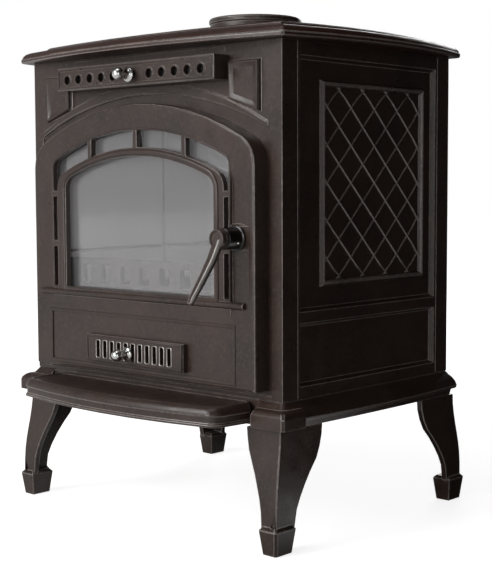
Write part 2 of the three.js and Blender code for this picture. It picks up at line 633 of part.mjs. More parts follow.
// Door casting: rounded front edge, arched window with a ring of slots, air slots below
function doorCasting() {
  const ring = (off, inset) => archOutline(DOOR, inset).map(([x, z]) => [x, ahead(off), z]);
  const outside = loft([
    ring(DOOR_BACK, 0),
    ring(DOOR_OFF - DOOR_ROUND, 0),
    ring(DOOR_OFF - DOOR_ROUND / 3, DOOR_ROUND / 3),
    ring(DOOR_OFF, DOOR_ROUND),
  ], IN_FRONT);
  const cavity = arch(DOOR, DOOR_BACK - EPS, SKIN_IN, DOOR_RIM + ROPE_W + DOOR_RIB);
  const groove = arch(DOOR, DOOR_BACK - EPS, DOOR_BACK + ROPE_W, DOOR_RIM)
    .subtract(arch(DOOR, DOOR_BACK - 2 * EPS, DOOR_BACK + ROPE_W + EPS, DOOR_RIM + ROPE_W));
  const windowCut = arch(WINDOW, SKIN_IN - EPS, DOOR_OFF + EPS);
  const slotBand = arch(SLOTS_OUT, SKIN_IN - EPS, DOOR_OFF + EPS)
    .subtract(arch(SLOTS_IN, SKIN_IN - 2 * EPS, DOOR_OFF + 2 * EPS));
  const { half, bottom, top, deep } = LOW_PANEL;
  const lowPanel = slab(-half, half, DOOR_OFF - deep, DOOR_OFF + EPS, bottom, top);
  const bore = peg(SPINDLE.x, SPINDLE.z, SPINDLE.radius + RUN, DOOR_BACK - EPS, DOOR_OFF + EPS);
  const stemHalf = KNOB.stem + RUN;
  const stemSlot = slab(
    STEM_LOW_X - stemHalf, stemHalf, SKIN_IN - EPS, DOOR_OFF, KNOB.z - stemHalf, KNOB.z + stemHalf,
  );
  const airSlots = airSlotRow(SKIN_IN - EPS, DOOR_OFF);
  const plate = cutAll(outside, [
    cavity, groove, windowCut, cutAll(slotBand, bridges()), ...sunkFields(), lowPanel, bore, stemSlot,
    ...airSlots,
  ]);
  const bead = across(circle(ahead(DOOR_OFF), BODY_Z + SILL.z, SILL.radius), -SILL.half, SILL.half);
  const sillFront = slab(-SILL.half, SILL.half, DOOR_OFF - EPS, DOOR_OFF + SILL.radius, 0, BODY_H);
  const knuckles = HINGE.z.map((z) => hingeLug(z, z + HINGE.half, true));
  return joinAll([plate, bead.intersect(sillFront), ...knuckles]);
}

// Bars left between the slots round the window
function bridges() {
  const [off0, off1] = [SKIN_IN - 3 * EPS, DOOR_OFF + 3 * EPS];
  const half = BRIDGE_W / 2;
  const upright = BRIDGE_X.map((x) => slab(
    x - half, x + half, off0, off1, BRIDGE_Z[1], SLOTS_OUT.apex + EPS,
  ));
  const level = BRIDGE_Z.map((z) => slab(-DOOR.half, DOOR.half, off0, off1, z - half, z + half));
  return [...upright, ...level];
}

// Sunk fields beside the window, bevelled towards the rim, parted at the handle by a flat pad
function sunkFields() {
  const { inner, flat, outer, bottom, top, deep } = FIELD;
  const bevel = outer - flat;
  const patch = (side, z0, z1, slopeLow, slopeHigh) => {
    const [low, high] = [z0 + slopeLow, z1 - slopeHigh];
    const floor = [[inner, low], [flat, low], [flat, high], [inner, high]];
    const mouth = [[inner, z0], [outer, z0], [outer, z1], [inner, z1]];
    return slopedPatch(mirrored(mouth, side), mirrored(floor, side), DOOR_OFF + 0.01, DOOR_OFF - deep);
  };
  const { below, above, slope } = HANDLE_PAD;
  return [
    patch(-1, bottom, top, bevel, bevel),
    patch(1, bottom, SPINDLE.z - below, bevel, slope),
    patch(1, SPINDLE.z + above, top, slope, bevel),
  ];
}

// The row of upright air slots, as cutters
function airSlotRow(off0, off1) {
  const middle = (SLOT.count - 1) / 2;
  return Array.from({ length: SLOT.count }, (_, i) => {
    const x = (i - middle) * SLOT.pitch;
    return slab(x - SLOT.width / 2, x + SLOT.width / 2, off0, off1, SLOT.bottom, SLOT.top);
  });
}

function doorGlass() {
  return arch(GLASS, GLASS_FRONT - GLASS_T, GLASS_FRONT);
}

function glassSeal() {
  const off0 = GLASS_FRONT + GAP;
  return arch(GLASS, off0, off0 + SEAL_T)
    .subtract(arch(GLASS, off0 - EPS, off0 + SEAL_T + EPS, SEAL_W));
}

function glassClamp() {
  const off1 = GLASS_FRONT - GLASS_T - GAP;
  return arch(GLASS, off1 - CLAMP_T, off1)
    .subtract(arch(GLASS, off1 - CLAMP_T - EPS, off1 + EPS, SEAL_W));
}

// Sealing rope in the groove round the door's back
function doorRope() {
  return arch(DOOR, DOOR_BACK, DOOR_BACK + ROPE_W - GAP, DOOR_RIM + GAP)
    .subtract(arch(DOOR, DOOR_BACK - EPS, DOOR_BACK + ROPE_W + EPS, DOOR_RIM + ROPE_W - GAP));
}

// Turned hub that carries the spindle in front of the door
function handleHub() {
  const from = DOOR_OFF + GAP;
  const foot = peg(SPINDLE.x, SPINDLE.z, HUB.foot, from, from + HUB.footT);
  const barrel = peg(SPINDLE.x, SPINDLE.z, HUB.radius, from, HUB.end);
  const bore = peg(SPINDLE.x, SPINDLE.z, SPINDLE.radius + RUN, from - EPS, HUB.end + EPS);
  return foot.add(barrel).subtract(bore);
}

// Lever and spindle in one: the arm hangs down, splayed forward and towards the hinges
function handleLever() {
  const headOff = HUB.end + RUN;
  const faceOff = headOff + LEVER.headT;
  const tenonEnd = CAM_FRONT - CAM.thick - EPS;
  const round = [
    peg(SPINDLE.x, SPINDLE.z, LEVER.headR, headOff, faceOff - 2),
    peg(SPINDLE.x, SPINDLE.z, LEVER.headR - 2, headOff, faceOff),
    peg(SPINDLE.x, SPINDLE.z, SPINDLE.radius, CAM_FRONT + RUN, headOff + EPS),
    peg(SPINDLE.x, SPINDLE.z, SPINDLE.tenon, tenonEnd, CAM_FRONT + RUN + EPS),
  ];
  const rows = [
    [0, 0, LEVER.rootW],
    [0.25, 0.12, LEVER.rootW],
    [0.6, 0.5, LEVER.rootW - 1],
    [0.92, 0.93, LEVER.tipW],
    [1, 1, LEVER.tipW - 4],
  ];
  const arm = loft(rows.map(([down, out, width]) => {
    const x = SPINDLE.x - LEVER.side * down;
    const z = BODY_Z + SPINDLE.z - LEVER.drop * down;
    const off = headOff + 1.5 + LEVER.reach * out;
    const [back, front] = [off + 1, off + LEVER.thick - 2];
    return [
      [x - width / 2, ahead(back), z], [x - width / 2, ahead(front), z], [x, ahead(off + LEVER.thick), z],
      [x + width / 2, ahead(front), z], [x + width / 2, ahead(back), z], [x, ahead(off), z],
    ];
  }), IN_PLAN);
  return joinAll([...round, arm]);
}

// Cam on the spindle's end; turned outwards it lies behind the stile
function latchCam() {
  const [x, z] = [SPINDLE.x, SPINDLE.z];
  const camBack = CAM_FRONT - CAM.thick;
  const hub = peg(x, z, CAM.width / 2 + 1, camBack, CAM_FRONT);
  const tongue = slab(x - CAM.width / 2, x + CAM.width / 2, camBack, CAM_FRONT, z - CAM.length, z);
  const bore = peg(x, z, SPINDLE.tenon + GAP, camBack - EPS, CAM_FRONT + EPS);
  return hub.add(tongue).subtract(bore);
}

// Knob with flared foot, neck and ball, its stem running back through the face
function knob(x, z, faceOff, stemEnd) {
  const { ball, centre, base, rim, neck, neckFrom, stem } = KNOB;
  const back = stemEnd - faceOff;
  const profile = [
    [0, back], [stem, back], [stem, 0], [base, 0], [base, rim], [base - 2, 2 * rim],
    [neck + 1, neckFrom - 2 * rim], [neck, neckFrom],
  ];
  const ballSteps = 8;
  const neckAngle = -Math.acos(neck / ball);
  for (let i = 0; i < ballSteps; i += 1) {
    const angle = neckAngle + ((Math.PI / 2 - neckAngle) * i) / ballSteps;
    profile.push([ball * Math.cos(angle), centre + ball * Math.sin(angle)]);
  }
  profile.push([0, centre + ball]);
  const geometry = new THREE.LatheGeometry(profile.map(([r, h]) => new THREE.Vector2(r, h)), ROUND_SIDES);
  geometry.rotateX(Math.PI);
  geometry.translate(x, ahead(faceOff + GAP), BODY_Z + z);
  return solidOf(geometry);
}

// Centres of the holes along the upper air bar
function barHoles(shift = 0) {
  const out = Array.from({ length: HOLE.count }, (_, i) => HOLE.pitch * (HOLE.first + i));
  return out.flatMap((x) => [x + shift, -x + shift]);
}

// Upper air bar: a hollow housing with round lipped holes and a beaded border
function airHousing() {
  const { half, bottom, top, off, wall, bead, sunk } = BAR;
  const body = slab(-half, half, GAP, off - ROUNDED, bottom, top);
  const face = slab(
    -half + ROUNDED, half - ROUNDED, off - 2 * ROUNDED, off, bottom + ROUNDED, top - ROUNDED,
  );
  const field = slab(-half + bead, half - bead, off - sunk, off + EPS, bottom + bead, top - bead);
  const inside = slab(-half + wall, half - wall, GAP - EPS, off - wall, bottom + wall, top - wall);
  const ring = (radius, off0, off1) => barHoles()
    .map((x) => peg(x, HOLE.z, radius, off0, off1, HOLE_SIDES));
  const lips = ring(HOLE.radius + HOLE.lip, off - wall, off + GAP);
  const holes = ring(HOLE.radius, off - wall - EPS, off + 2 * EPS);
  const ledgeOff = off - wall - BAR_SLIDE_T - 2 * RUN;
  const ledges = [bottom + wall - EPS, top - wall - wall / 2]
    .map((z) => slab(-half + wall - EPS, half - wall + EPS, ledgeOff - 2, ledgeOff, z, z + wall / 2 + EPS));
  const stemHalf = KNOB.stem + RUN;
  const stemSlot = slab(
    -TRAVEL_UP - stemHalf, TRAVEL_UP + stemHalf, off - wall - EPS, off + EPS, HOLE.z - stemHalf,
    HOLE.z + stemHalf,
  );
  const shell = cutAll(body.add(face), [field, inside]);
  return cutAll(joinAll([shell, ...lips, ...ledges]), [...holes, stemSlot]);
}

// Slide behind the housing, its holes a quarter pitch off so that half of each is open at rest
function airSlide() {
  const off1 = BAR.off - BAR.wall - RUN;
  const off0 = off1 - BAR_SLIDE_T;
  const half = BAR.half - BAR.wall - TRAVEL_UP - 2 * RUN;
  const plate = slab(-half, half, off0, off1, BAR.bottom + BAR.wall + RUN, BAR.top - BAR.wall - RUN);
  const holes = barHoles(TRAVEL_UP).filter((x) => Math.abs(x) < half - HOLE.radius)
    .map((x) => peg(x, HOLE.z, HOLE.radius, off0 - EPS, off1 + EPS, HOLE_SIDES));
  return cutAll(plate, [...holes, peg(0, HOLE.z, KNOB.stem + GAP, off0 - EPS, off1 + EPS)]);
}

// Lower air slide: the slotted plate on the door's face
function lowerSlide() {
  const { half, bottom, top, off } = SLIDE_LOW;
  const back = DOOR_OFF - LOW_PANEL.deep + GAP;
  const plate = slab(-half, half, back, off - ROUNDED, bottom, top);
  const face = slab(
    -half + ROUNDED, half - ROUNDED, off - 2 * ROUNDED, off, bottom + ROUNDED, top - ROUNDED,
  );
  const stem = peg(STEM_LOW_X, KNOB.z, KNOB.stem + GAP, back - EPS, off + EPS);
  return cutAll(plate.add(face), [...airSlotRow(back - EPS, off + EPS), stem]);
}

// Strap behind the door's skin that the lower slide is pinned to
function slideStrap() {
  const { half, height, thick } = STRAP;
  const off1 = SKIN_IN - RUN;
  const off0 = off1 - thick;
  const z0 = KNOB.z - height / 2;
  const strap = slab(STEM_LOW_X - half, STEM_LOW_X + half, off0, off1, z0, z0 + height);
  return strap.subtract(peg(STEM_LOW_X, KNOB.z, KNOB.stem + GAP, off0 - EPS, off1 + EPS));
}

function sideBrick(side) {
  const [x0, x1] = ordered(side * (SIDE_IN - GAP), side * (SIDE_IN - GAP - BRICK_T));
  return block(x0, x1, BED_FRONT, BED_BACK - GAP, BODY_Z + BRICK_Z0, BODY_Z + BRICK_TOP);
}

function backBrick() {
  const half = SIDE_IN - GAP;
  return block(-half, half, BED_BACK, BACK - WALL - GAP, BODY_Z + BRICK_Z0, BODY_Z + BRICK_TOP);
}

// Grate: a cast bed with long slots, standing on four feet from the base
function grate() {
  const half = SIDE_IN - 2 * GAP;
  const z0 = BODY_Z + GRATE.z;
  const z1 = z0 + GRATE.thick;
  const bed = block(-half, half, BED_FRONT, BACK - WALL - 2 * GAP, z0, z1);
  const slots = Array.from({ length: 2 * GRATE.each + 1 }, (_, i) => {
    const x = (i - GRATE.each) * (GRATE.bar + GRATE.slot);
    return block(
      x - GRATE.slot / 2, x + GRATE.slot / 2, -GRATE.slotHalf, GRATE.slotHalf, z0 - EPS, z1 + EPS,
    );
  });
  const footBack = BACK - RETURN_D - GRATE.footY;
  const feet = [-1, 1].flatMap((side) => [BED_FRONT, footBack - GRATE.footY].map((y) => {
    const [x0, x1] = ordered(side * (half - GRATE.footX), side * half);
    return block(x0, x1, y, y + GRATE.footY, BODY_Z + GAP, z0 + EPS);
  }));
  return joinAll([cutAll(bed, slots), ...feet]);
}

// Upright guard at the front of the fire bed
function logGuard() {
  const { height, thick, openings, gapHalf, rail, set } = GUARD;
  const half = SIDE_IN - GAP - BRICK_T - set;
  const z0 = BODY_Z + BRICK_Z0;
  const y0 = BED_FRONT + set;
  const bar = block(-half, half, y0, y0 + thick, z0, z0 + height);
  const pitch = (2 * half) / (openings + 1);
  const gaps = Array.from({ length: openings }, (_, i) => {
    const x = -half + pitch * (i + 1);
    return block(x - gapHalf, x + gapHalf, y0 - EPS, y0 + thick + EPS, z0 + rail, z0 + height - rail);
  });
  return cutAll(bar, gaps);
}

// Ash pan: open sheet tray with a square pull on its front
function ashPan() {
  const { half, height, wall, depth } = PAN;
  const z0 = BODY_Z + RAIL_TOP + GAP;
  const y0 = FRONT + WALL + RETURN_D;
  const tray = block(-half, half, y0, y0 + depth, z0, z0 + height);
  const hollow = block(
    -half + wall, half - wall, y0 + wall, y0 + depth - wall, z0 + wall, z0 + height + EPS,
  );
  const pullZ = z0 + PULL.z;
  const pull = block(-PULL.half, PULL.half, y0 - PULL.out, y0 + EPS, pullZ, pullZ + PULL.bar);
  const grip = block(
    -PULL.half + PULL.bar, PULL.half - PULL.bar, y0 - PULL.out + PULL.bar, y0 - EPS / 2, pullZ - EPS,
    pullZ + PULL.bar + EPS,
  );
  return joinAll([tray.subtract(hollow), pull.subtract(grip)]);
}

function baffle() {
  const half = SIDE_IN - PANEL_SLOPE;
  const z0 = BODY_Z + BRICK_TOP + GAP;
  return block(-half, half, BED_FRONT + BAFFLE_IN, BACK - WALL - 2 * EPS, z0, z0 + BAFFLE_T);
}

function meshOf(name, solid, material, shiftY) {
  const data = solid.getMesh();
  const geometry = new THREE.BufferGeometry();
  geometry.setAttribute('position', new THREE.Float32BufferAttribute(data.vertProperties, 3));
  geometry.setIndex(Array.from(data.triVerts));
  geometry.translate(0, shiftY, 0);
  geometry.computeVertexNormals();
  const mesh = new THREE.Mesh(geometry, material);
  mesh.name = name;
  return mesh;
}

const PIECES = [
  ['leg_front_left', leg(-1, -1), IRON],
  ['leg_front_right', leg(1, -1), IRON],
  ['leg_rear_left', leg(-1, 1), IRON],
  ['leg_rear_right', leg(1, 1), IRON],
  ['base_plate', basePlate(), IRON],
  ['ash_lip', ashLip(), IRON],
  ['front_plate', frontPlate(), IRON],
  ['side_plate_left', sidePlate(-1), IRON],
  ['side_plate_right', sidePlate(1), IRON],
  ['back_plate', backPlate(), IRON],
  ['top_plate', topPlate(), TOP_IRON],
  ['flue_collar', flueCollar(), IRON],
  ['door', doorCasting(), IRON],
  ['door_glass', doorGlass(), CLEAR],
  ['glass_seal', glassSeal(), ROPE],
  ['glass_clamp', glassClamp(), STEEL],
  ['door_rope', doorRope(), ROPE],
  ['handle_hub', handleHub(), IRON],
  ['handle_lever', handleLever(), IRON],
  ['latch_cam', latchCam(), STEEL],
  ['hinge_pin_lower', hingePin(HINGE.z[0]), STEEL],
  ['hinge_pin_upper', hingePin(HINGE.z[1]), STEEL],
  ['air_housing', airHousing(), IRON],
  ['air_slide', airSlide(), STEEL],
  ['air_knob', knob(0, HOLE.z, BAR.off, BAR.off - BAR.wall - BAR_SLIDE_T - 2), CHROME],
  ['lower_slide', lowerSlide(), IRON],
  ['lower_strap', slideStrap(), STEEL],
  ['lower_knob', knob(STEM_LOW_X, KNOB.z, SLIDE_LOW.off, SKIN_IN - STRAP.thick - 1), CHROME],
  ['brick_left', sideBrick(-1), BRICK],
  ['brick_right', sideBrick(1), BRICK],
  ['brick_back', backBrick(), BRICK],
  ['baffle', baffle(), STEEL],
  ['grate', grate(), IRON],
  ['log_guard', logGuard(), IRON],
  ['ash_pan', ashPan(), STEEL],
];

// The origin is under the middle of the whole object, so every piece moves back by the same amount
const FOREMOST = ahead(LIP.centre);
const REARMOST = BACK + Math.max(LEG_ROWS.at(-1)[2] + PAD.over, BASE_OVER.widest, TOP_OVER.back);
const SHIFT_Y = -(FOREMOST + REARMOST) / 2;

const stove = new THREE.Group();
stove.name = 'cabinet_stove';
PIECES.forEach(([name, solid, material]) => stove.add(meshOf(name, solid, material, SHIFT_Y)));

export default stove;
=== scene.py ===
"""Cast-iron cabinet stove: finishes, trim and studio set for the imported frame

Runs as a script in Blender 4.5.
"""

import math

import bmesh
import bpy
from bpy.props import FloatProperty, FloatVectorProperty, IntProperty, PointerProperty
from mathutils import Matrix, Vector


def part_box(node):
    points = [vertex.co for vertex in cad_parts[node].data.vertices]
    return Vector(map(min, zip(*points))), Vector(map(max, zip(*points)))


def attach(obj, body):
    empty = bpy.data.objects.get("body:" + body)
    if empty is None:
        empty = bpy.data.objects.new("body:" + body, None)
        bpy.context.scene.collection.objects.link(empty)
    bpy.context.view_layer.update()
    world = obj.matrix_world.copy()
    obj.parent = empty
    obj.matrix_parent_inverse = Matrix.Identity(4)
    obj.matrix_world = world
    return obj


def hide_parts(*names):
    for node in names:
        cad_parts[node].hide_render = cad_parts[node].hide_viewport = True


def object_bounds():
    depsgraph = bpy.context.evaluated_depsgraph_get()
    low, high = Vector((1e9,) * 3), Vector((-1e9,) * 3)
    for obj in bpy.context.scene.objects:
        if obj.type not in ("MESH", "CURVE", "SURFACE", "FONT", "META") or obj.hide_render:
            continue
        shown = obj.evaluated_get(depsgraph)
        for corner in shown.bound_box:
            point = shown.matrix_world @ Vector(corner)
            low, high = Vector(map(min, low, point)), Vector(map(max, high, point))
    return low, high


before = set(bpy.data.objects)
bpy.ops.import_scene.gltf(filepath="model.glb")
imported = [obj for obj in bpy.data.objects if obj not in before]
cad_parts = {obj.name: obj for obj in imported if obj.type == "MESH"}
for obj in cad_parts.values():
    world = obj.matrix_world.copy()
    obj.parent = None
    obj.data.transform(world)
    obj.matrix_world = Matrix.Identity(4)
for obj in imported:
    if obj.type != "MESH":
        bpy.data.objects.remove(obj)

bl_info = {
    "name": "Cabinet stove",
    "version": (1, 0, 0),
    "blender": (4, 5, 0),
    "location": "View3D > Sidebar > Stove",
    "description": "Castings, glass, turned knobs, fire bricks and fixings of a cast-iron stove",
    "category": "Object",
}

MM = 0.001
GAP = 0.3 * MM  # between neighbouring castings

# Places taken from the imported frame, in metres
CAD_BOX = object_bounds()
FACE_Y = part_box("air_housing")[1].y + GAP  # the cabinet's face, from the air bar that stands on it
SIDE_LOW, SIDE_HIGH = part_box("side_plate_right")
SIDE_MID_Y = (SIDE_LOW.y + SIDE_HIGH.y) / 2
BODY_LOW = SIDE_LOW.z - GAP  # the underside of the cabinet
KNOB_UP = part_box("air_knob")
KNOB_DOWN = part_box("lower_knob")
HUB_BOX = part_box("handle_hub")


def at(x, off, z):
    """Point from millimetres across, ahead of the cabinet's face, and above its floor"""
    return Vector((x * MM, FACE_Y - off * MM, BODY_LOW + z * MM))


# ---------------------------------------------------------------- properties


def length(name, description, default):
    """A size in metres whose default is given in millimetres"""
    return FloatProperty(
        name=name, description=description, default=default * MM, min=0.0, max=1.0,
        unit="LENGTH", precision=5,
    )


def colour(name, description, code):
    """A colour whose default is given as sRGB hex"""
    return FloatVectorProperty(
        name=name, description=description, default=linear(code), min=0.0, max=1.0,
        size=4, subtype="COLOR",
    )


def linear(code):
    """sRGB hex to linear RGBA"""
    channels = [int(code[i:i + 2], 16) / 255 for i in (1, 3, 5)]
    return tuple(c / 12.92 if c <= 0.04045 else ((c + 0.055) / 1.055) ** 2.4 for c in channels) + (1.0,)


class StoveSizes(bpy.types.PropertyGroup):
    """Sizes of the visual pieces"""

    arris: length("Casting arris", "Radius on the edges of the castings", 0.9)
    lattice_step_y: length("Lattice step across", "Distance between crossings along the side", 26.2)
    lattice_step_z: length("Lattice step up", "Distance between crossings up the side", 25.2)
    lattice_rib: length("Lattice rib", "Width of a rib", 2.2)
    lattice_high: length("Lattice relief", "Height of a rib over the panel", 2.2)
    stud: length("Stud radius", "Radius of the domed stud on each crossing", 2.0)
    hole_pitch: length("Air hole pitch", "Distance between the holes of the air bar", 24.6)
    hole_radius: length("Air hole radius", "Radius of a hole in the air bar", 6.2)
    hole_lip: length("Air hole lip", "Thickness of the rolled lip round a hole", 1.5)
    slot_pitch: length("Air slot pitch", "Distance between the slots of the lower slide", 14.65)
    slot_width: length("Air slot width", "Width of a slot in the lower slide", 7.0)
    slot_lip: length("Air slot lip", "Thickness of the raised lip round a slot", 1.5)
    knob_ball: length("Knob ball", "Radius of a knob's ball", 8.5)
    brick_length: length("Brick length", "Length of a whole fire brick with its joint", 206)
    brick_height: length("Brick height", "Height of a whole fire brick with its joint", 216)
    brick_joint: length("Brick joint", "Width of the open joint between fire bricks", 3.6)
    slots: IntProperty(name="Air slots", description="Slots in the lower slide", default=11, min=1, max=40)


class StoveColours(bpy.types.PropertyGroup):
    """Colours of the finishes"""

    iron: colour("Enamelled iron", "Brown-black enamel on the castings", "#372923")
    top: colour("Top iron", "Reddish-brown enamel on the top plate", "#382019")
    # Edge colour: enamel worn thin, painted much paler than that as a highlight on the edges
    arris: colour("Worn arris with painted highlight", "Enamel thinned over an edge, painted paler as a highlight", "#746b66")
    bare: colour("Bare iron", "Uncoated casting dulled by fire", "#3a3633")
    # Near-white bare metal: partly wear from hands on the lever, and a painted highlight on its ridge and
    # on the slots' lips
    rubbed: colour("Rubbed iron", "Ridge of the lever and slot lips: rubbed bright, and a painted highlight", "#d6d2cc")
    steel: colour("Steel", "Plain rolled steel", "#8d8c8b")
    chrome: colour("Chrome", "Bright chrome plate", "#e6e6e4")
    brick: colour("Fire brick", "Pressed vermiculite", "#b0aca6")
    rope: colour("Sealing rope", "Woven glass fibre", "#8e8a84")
    floor: colour("Floor", "Studio floor and backdrop", "#ffffff")


# ---------------------------------------------------------------- node trees

MATH = "ShaderNodeMath"
VECTOR = "ShaderNodeVectorMath"
XYZ = "ShaderNodeCombineXYZ"
RANGE = "ShaderNodeMapRange"
NOISE = "ShaderNodeTexNoise"
MIX = "ShaderNodeMix"
BUMP = "ShaderNodeBump"

# The part of a noise's range that most of its surface falls in
MIDDLE = {"From Min": 0.3, "From Max": 0.7}


def plug(tree, node, inputs):
    """Feeds a node's inputs: a plain value is set; a socket, or a node's first output, is linked"""
    for key, value in inputs.items():
        for source in value if isinstance(value, list) else [value]:
            if isinstance(source, bpy.types.Node):
                source = source.outputs[0]
            if isinstance(source, bpy.types.NodeSocket):
                tree.links.new(source, node.inputs[key])
            else:
                node.inputs[key].default_value = source


def add(tree, kind, inputs=None, **settings):
    """Adds a node with its settings and inputs"""
    made = tree.nodes.new(kind)
    for key, value in settings.items():
        setattr(made, key, value)
    plug(tree, made, inputs or {})
    return made


def per_mm(size):
    """Texture scale for a feature of this size in millimetres, on coordinates in metres"""
    return 1.0 / (size * MM)


def new_material(name):
    """A material with its tree, its object coordinates and its shader"""
    made = bpy.data.materials.new(name)
    made.use_nodes = True
    tree = made.node_tree
    tree.nodes.clear()
    place = add(tree, "ShaderNodeTexCoord").outputs["Object"]
    shader = add(tree, "ShaderNodeBsdfPrincipled")
    add(tree, "ShaderNodeOutputMaterial", {"Surface": shader})
    return made, tree, place, shader


def shade(value, factor):
    """The same colour, darker or lighter"""
    return tuple(c * factor for c in value[:3]) + (1.0,)


def cast_iron(name, base, rough=(0.27, 0.45), grain=2.8, depth=0.3, coat=0.25):
    """Grey iron cast in sand, under a thin fired enamel: mottled tone, grain and ripples in the gloss"""
    made, tree, place, shader = new_material(name)
    # Enamel that pools and thins, in patches about 70 mm wide
    mottle = add(tree, NOISE, {"Scale": per_mm(70), "Detail": 5.0, "Roughness": 0.6, "Vector": place})
    patch = add(tree, RANGE, {**MIDDLE, "Value": mottle})
    tone = add(tree, MIX, {0: patch, 6: shade(base, 0.62), 7: shade(base, 1.4)}, data_type="RGBA")
    # Paler flecks where it is thin over a grain: 1 mm on the real one, 4.5 mm here to show
    fleck = add(tree, NOISE, {"Scale": per_mm(4.5), "Detail": 4.0, "Vector": place})
    thin = add(tree, RANGE, {"Value": fleck, "From Min": 0.5, "From Max": 0.7, "To Max": 0.8})
    flecked = add(tree, MIX, {0: thin, 6: tone.outputs[2], 7: shade(base, 1.9)}, data_type="RGBA")
    # Gloss and surface wander over 22 to 24 mm, as the mould's face does
    gloss = add(tree, NOISE, {"Scale": per_mm(22), "Detail": 4.0, "Vector": place})
    dull = add(tree, RANGE, {**MIDDLE, "Value": gloss, "To Min": rough[0], "To Max": rough[1]})
    wave = add(tree, NOISE, {"Scale": per_mm(24), "Detail": 2.0, "Vector": place})
    ripple = add(tree, BUMP, {"Strength": 0.6, "Distance": 0.9 * MM, "Height": wave})
    # Moulding sand of 0.5 mm, drawn as coarse as the render shows
    sand = add(tree, NOISE, {"Scale": per_mm(grain), "Detail": 3.0, "Vector": place})
    bump = add(tree, BUMP, {"Strength": 0.6, "Distance": depth * MM, "Height": sand, "Normal": ripple})
    plug(tree, shader, {
        "Base Color": flecked.outputs[2], "Roughness": dull, "Normal": bump, "Coat Weight": coat,
        "Coat Roughness": 0.3,
    })
    return made


def chrome_plate(name, base):
    """Bright chrome on turned and polished steel: a clear mirror with a faint handling haze"""
    made, tree, place, shader = new_material(name)
    # Finger marks, in smears about 4 mm wide
    haze = add(tree, NOISE, {"Scale": per_mm(4), "Detail": 4.0, "Vector": place})
    smear = add(tree, RANGE, {**MIDDLE, "Value": haze, "To Min": 0.1, "To Max": 0.18})
    plug(tree, shader, {"Base Color": base, "Metallic": 1.0, "Roughness": smear})
    return made


def rubbed_iron_and_highlight(name, base):
    """Cast iron rubbed bare by hands, near white so that it also stands as a painted highlight: a soft
    metal sheen with fine scratches along the arm
    """
    made, tree, place, shader = new_material(name)
    # Scratches of 0.1 mm drawn 0.9 mm wide to show, and twelve times as long
    run = add(tree, "ShaderNodeMapping", {"Scale": (1.0, 1.0, 0.08), "Vector": place})
    scratch = add(tree, NOISE, {"Scale": per_mm(0.9), "Detail": 4.0, "Vector": run})
    bright = add(tree, RANGE, {**MIDDLE, "Value": scratch})
    tone = add(tree, MIX, {0: bright, 6: shade(base, 0.6), 7: base}, data_type="RGBA")
    dull = add(tree, RANGE, {**MIDDLE, "Value": scratch, "To Min": 0.28, "To Max": 0.42})
    plug(tree, shader, {"Base Color": tone.outputs[2], "Metallic": 1.0, "Roughness": dull})
    return made


def rolled_steel(name, base):
    """Hot-rolled mild steel sheet: streaks along the rolling direction and a dull sheen"""
    made, tree, place, shader = new_material(name)
    # Roll marks of 0.2 mm drawn 1.2 mm wide to show, and 30 mm long
    run = add(tree, "ShaderNodeMapping", {"Scale": (0.04, 1.0, 1.0), "Vector": place})
    streak = add(tree, NOISE, {"Scale": per_mm(1.2), "Detail": 4.0, "Vector": run})
    bright = add(tree, RANGE, {**MIDDLE, "Value": streak})
    tone = add(tree, MIX, {0: bright, 6: shade(base, 0.7), 7: base}, data_type="RGBA")
    dull = add(tree, RANGE, {**MIDDLE, "Value": streak, "To Min": 0.32, "To Max": 0.5})
    bump = add(tree, BUMP, {"Strength": 0.3, "Distance": 0.05 * MM, "Height": streak})
    plug(tree, shader, {"Base Color": tone.outputs[2], "Metallic": 1.0, "Roughness": dull, "Normal": bump})
    return made


def fire_glass(name):
    """Rolled glass ceramic with a heat-reflecting film: it mirrors a pale room over the fire bed"""
    made, tree, place, shader = new_material(name)
    # The film's faint bloom and the sheet's waves, about 60 mm wide
    film = add(tree, NOISE, {"Scale": per_mm(60), "Detail": 3.0, "Vector": place})
    bloom = add(tree, RANGE, {**MIDDLE, "Value": film, "To Min": 0.02, "To Max": 0.07})
    ripple = add(tree, BUMP, {"Strength": 0.25, "Distance": 0.4 * MM, "Height": film})
    plug(tree, shader, {
        "Base Color": linear("#efeeef"), "Roughness": bloom, "Normal": ripple, "IOR": 1.53,
        "Transmission Weight": 0.94, "Coat Weight": 0.5, "Coat IOR": 1.6, "Coat Roughness": 0.06,
    })
    # Light passes straight through, so that the bricks behind are lit
    clear = add(tree, "ShaderNodeBsdfTransparent", {"Color": linear("#e6e4e6")})
    shadow = add(tree, "ShaderNodeLightPath").outputs["Is Shadow Ray"]
    pane = add(tree, "ShaderNodeMixShader", {0: shadow, 1: shader, 2: clear})
    plug(tree, next(n for n in tree.nodes if n.type == "OUTPUT_MATERIAL"), {"Surface": pane})
    return made


def fibre_rope(name, base):
    """Braided glass-fibre rope: a matt diagonal weave"""
    made, tree, place, shader = new_material(name)
    # Strands 3 mm wide; the wave texture has one band in each 2 pi of its scale
    twist = add(
        tree, "ShaderNodeTexWave",
        {"Scale": per_mm(3) / 6.3, "Distortion": 1.5, "Detail": 2.0, "Vector": place},
        wave_type="BANDS", bands_direction="DIAGONAL",
    ).outputs["Fac"]
    tone = add(tree, MIX, {0: twist, 6: shade(base, 0.6), 7: base}, data_type="RGBA")
    bump = add(tree, BUMP, {"Strength": 0.8, "Distance": 0.6 * MM, "Height": twist})
    plug(tree, shader, {"Base Color": tone.outputs[2], "Roughness": 0.95, "Normal": bump})
    return made


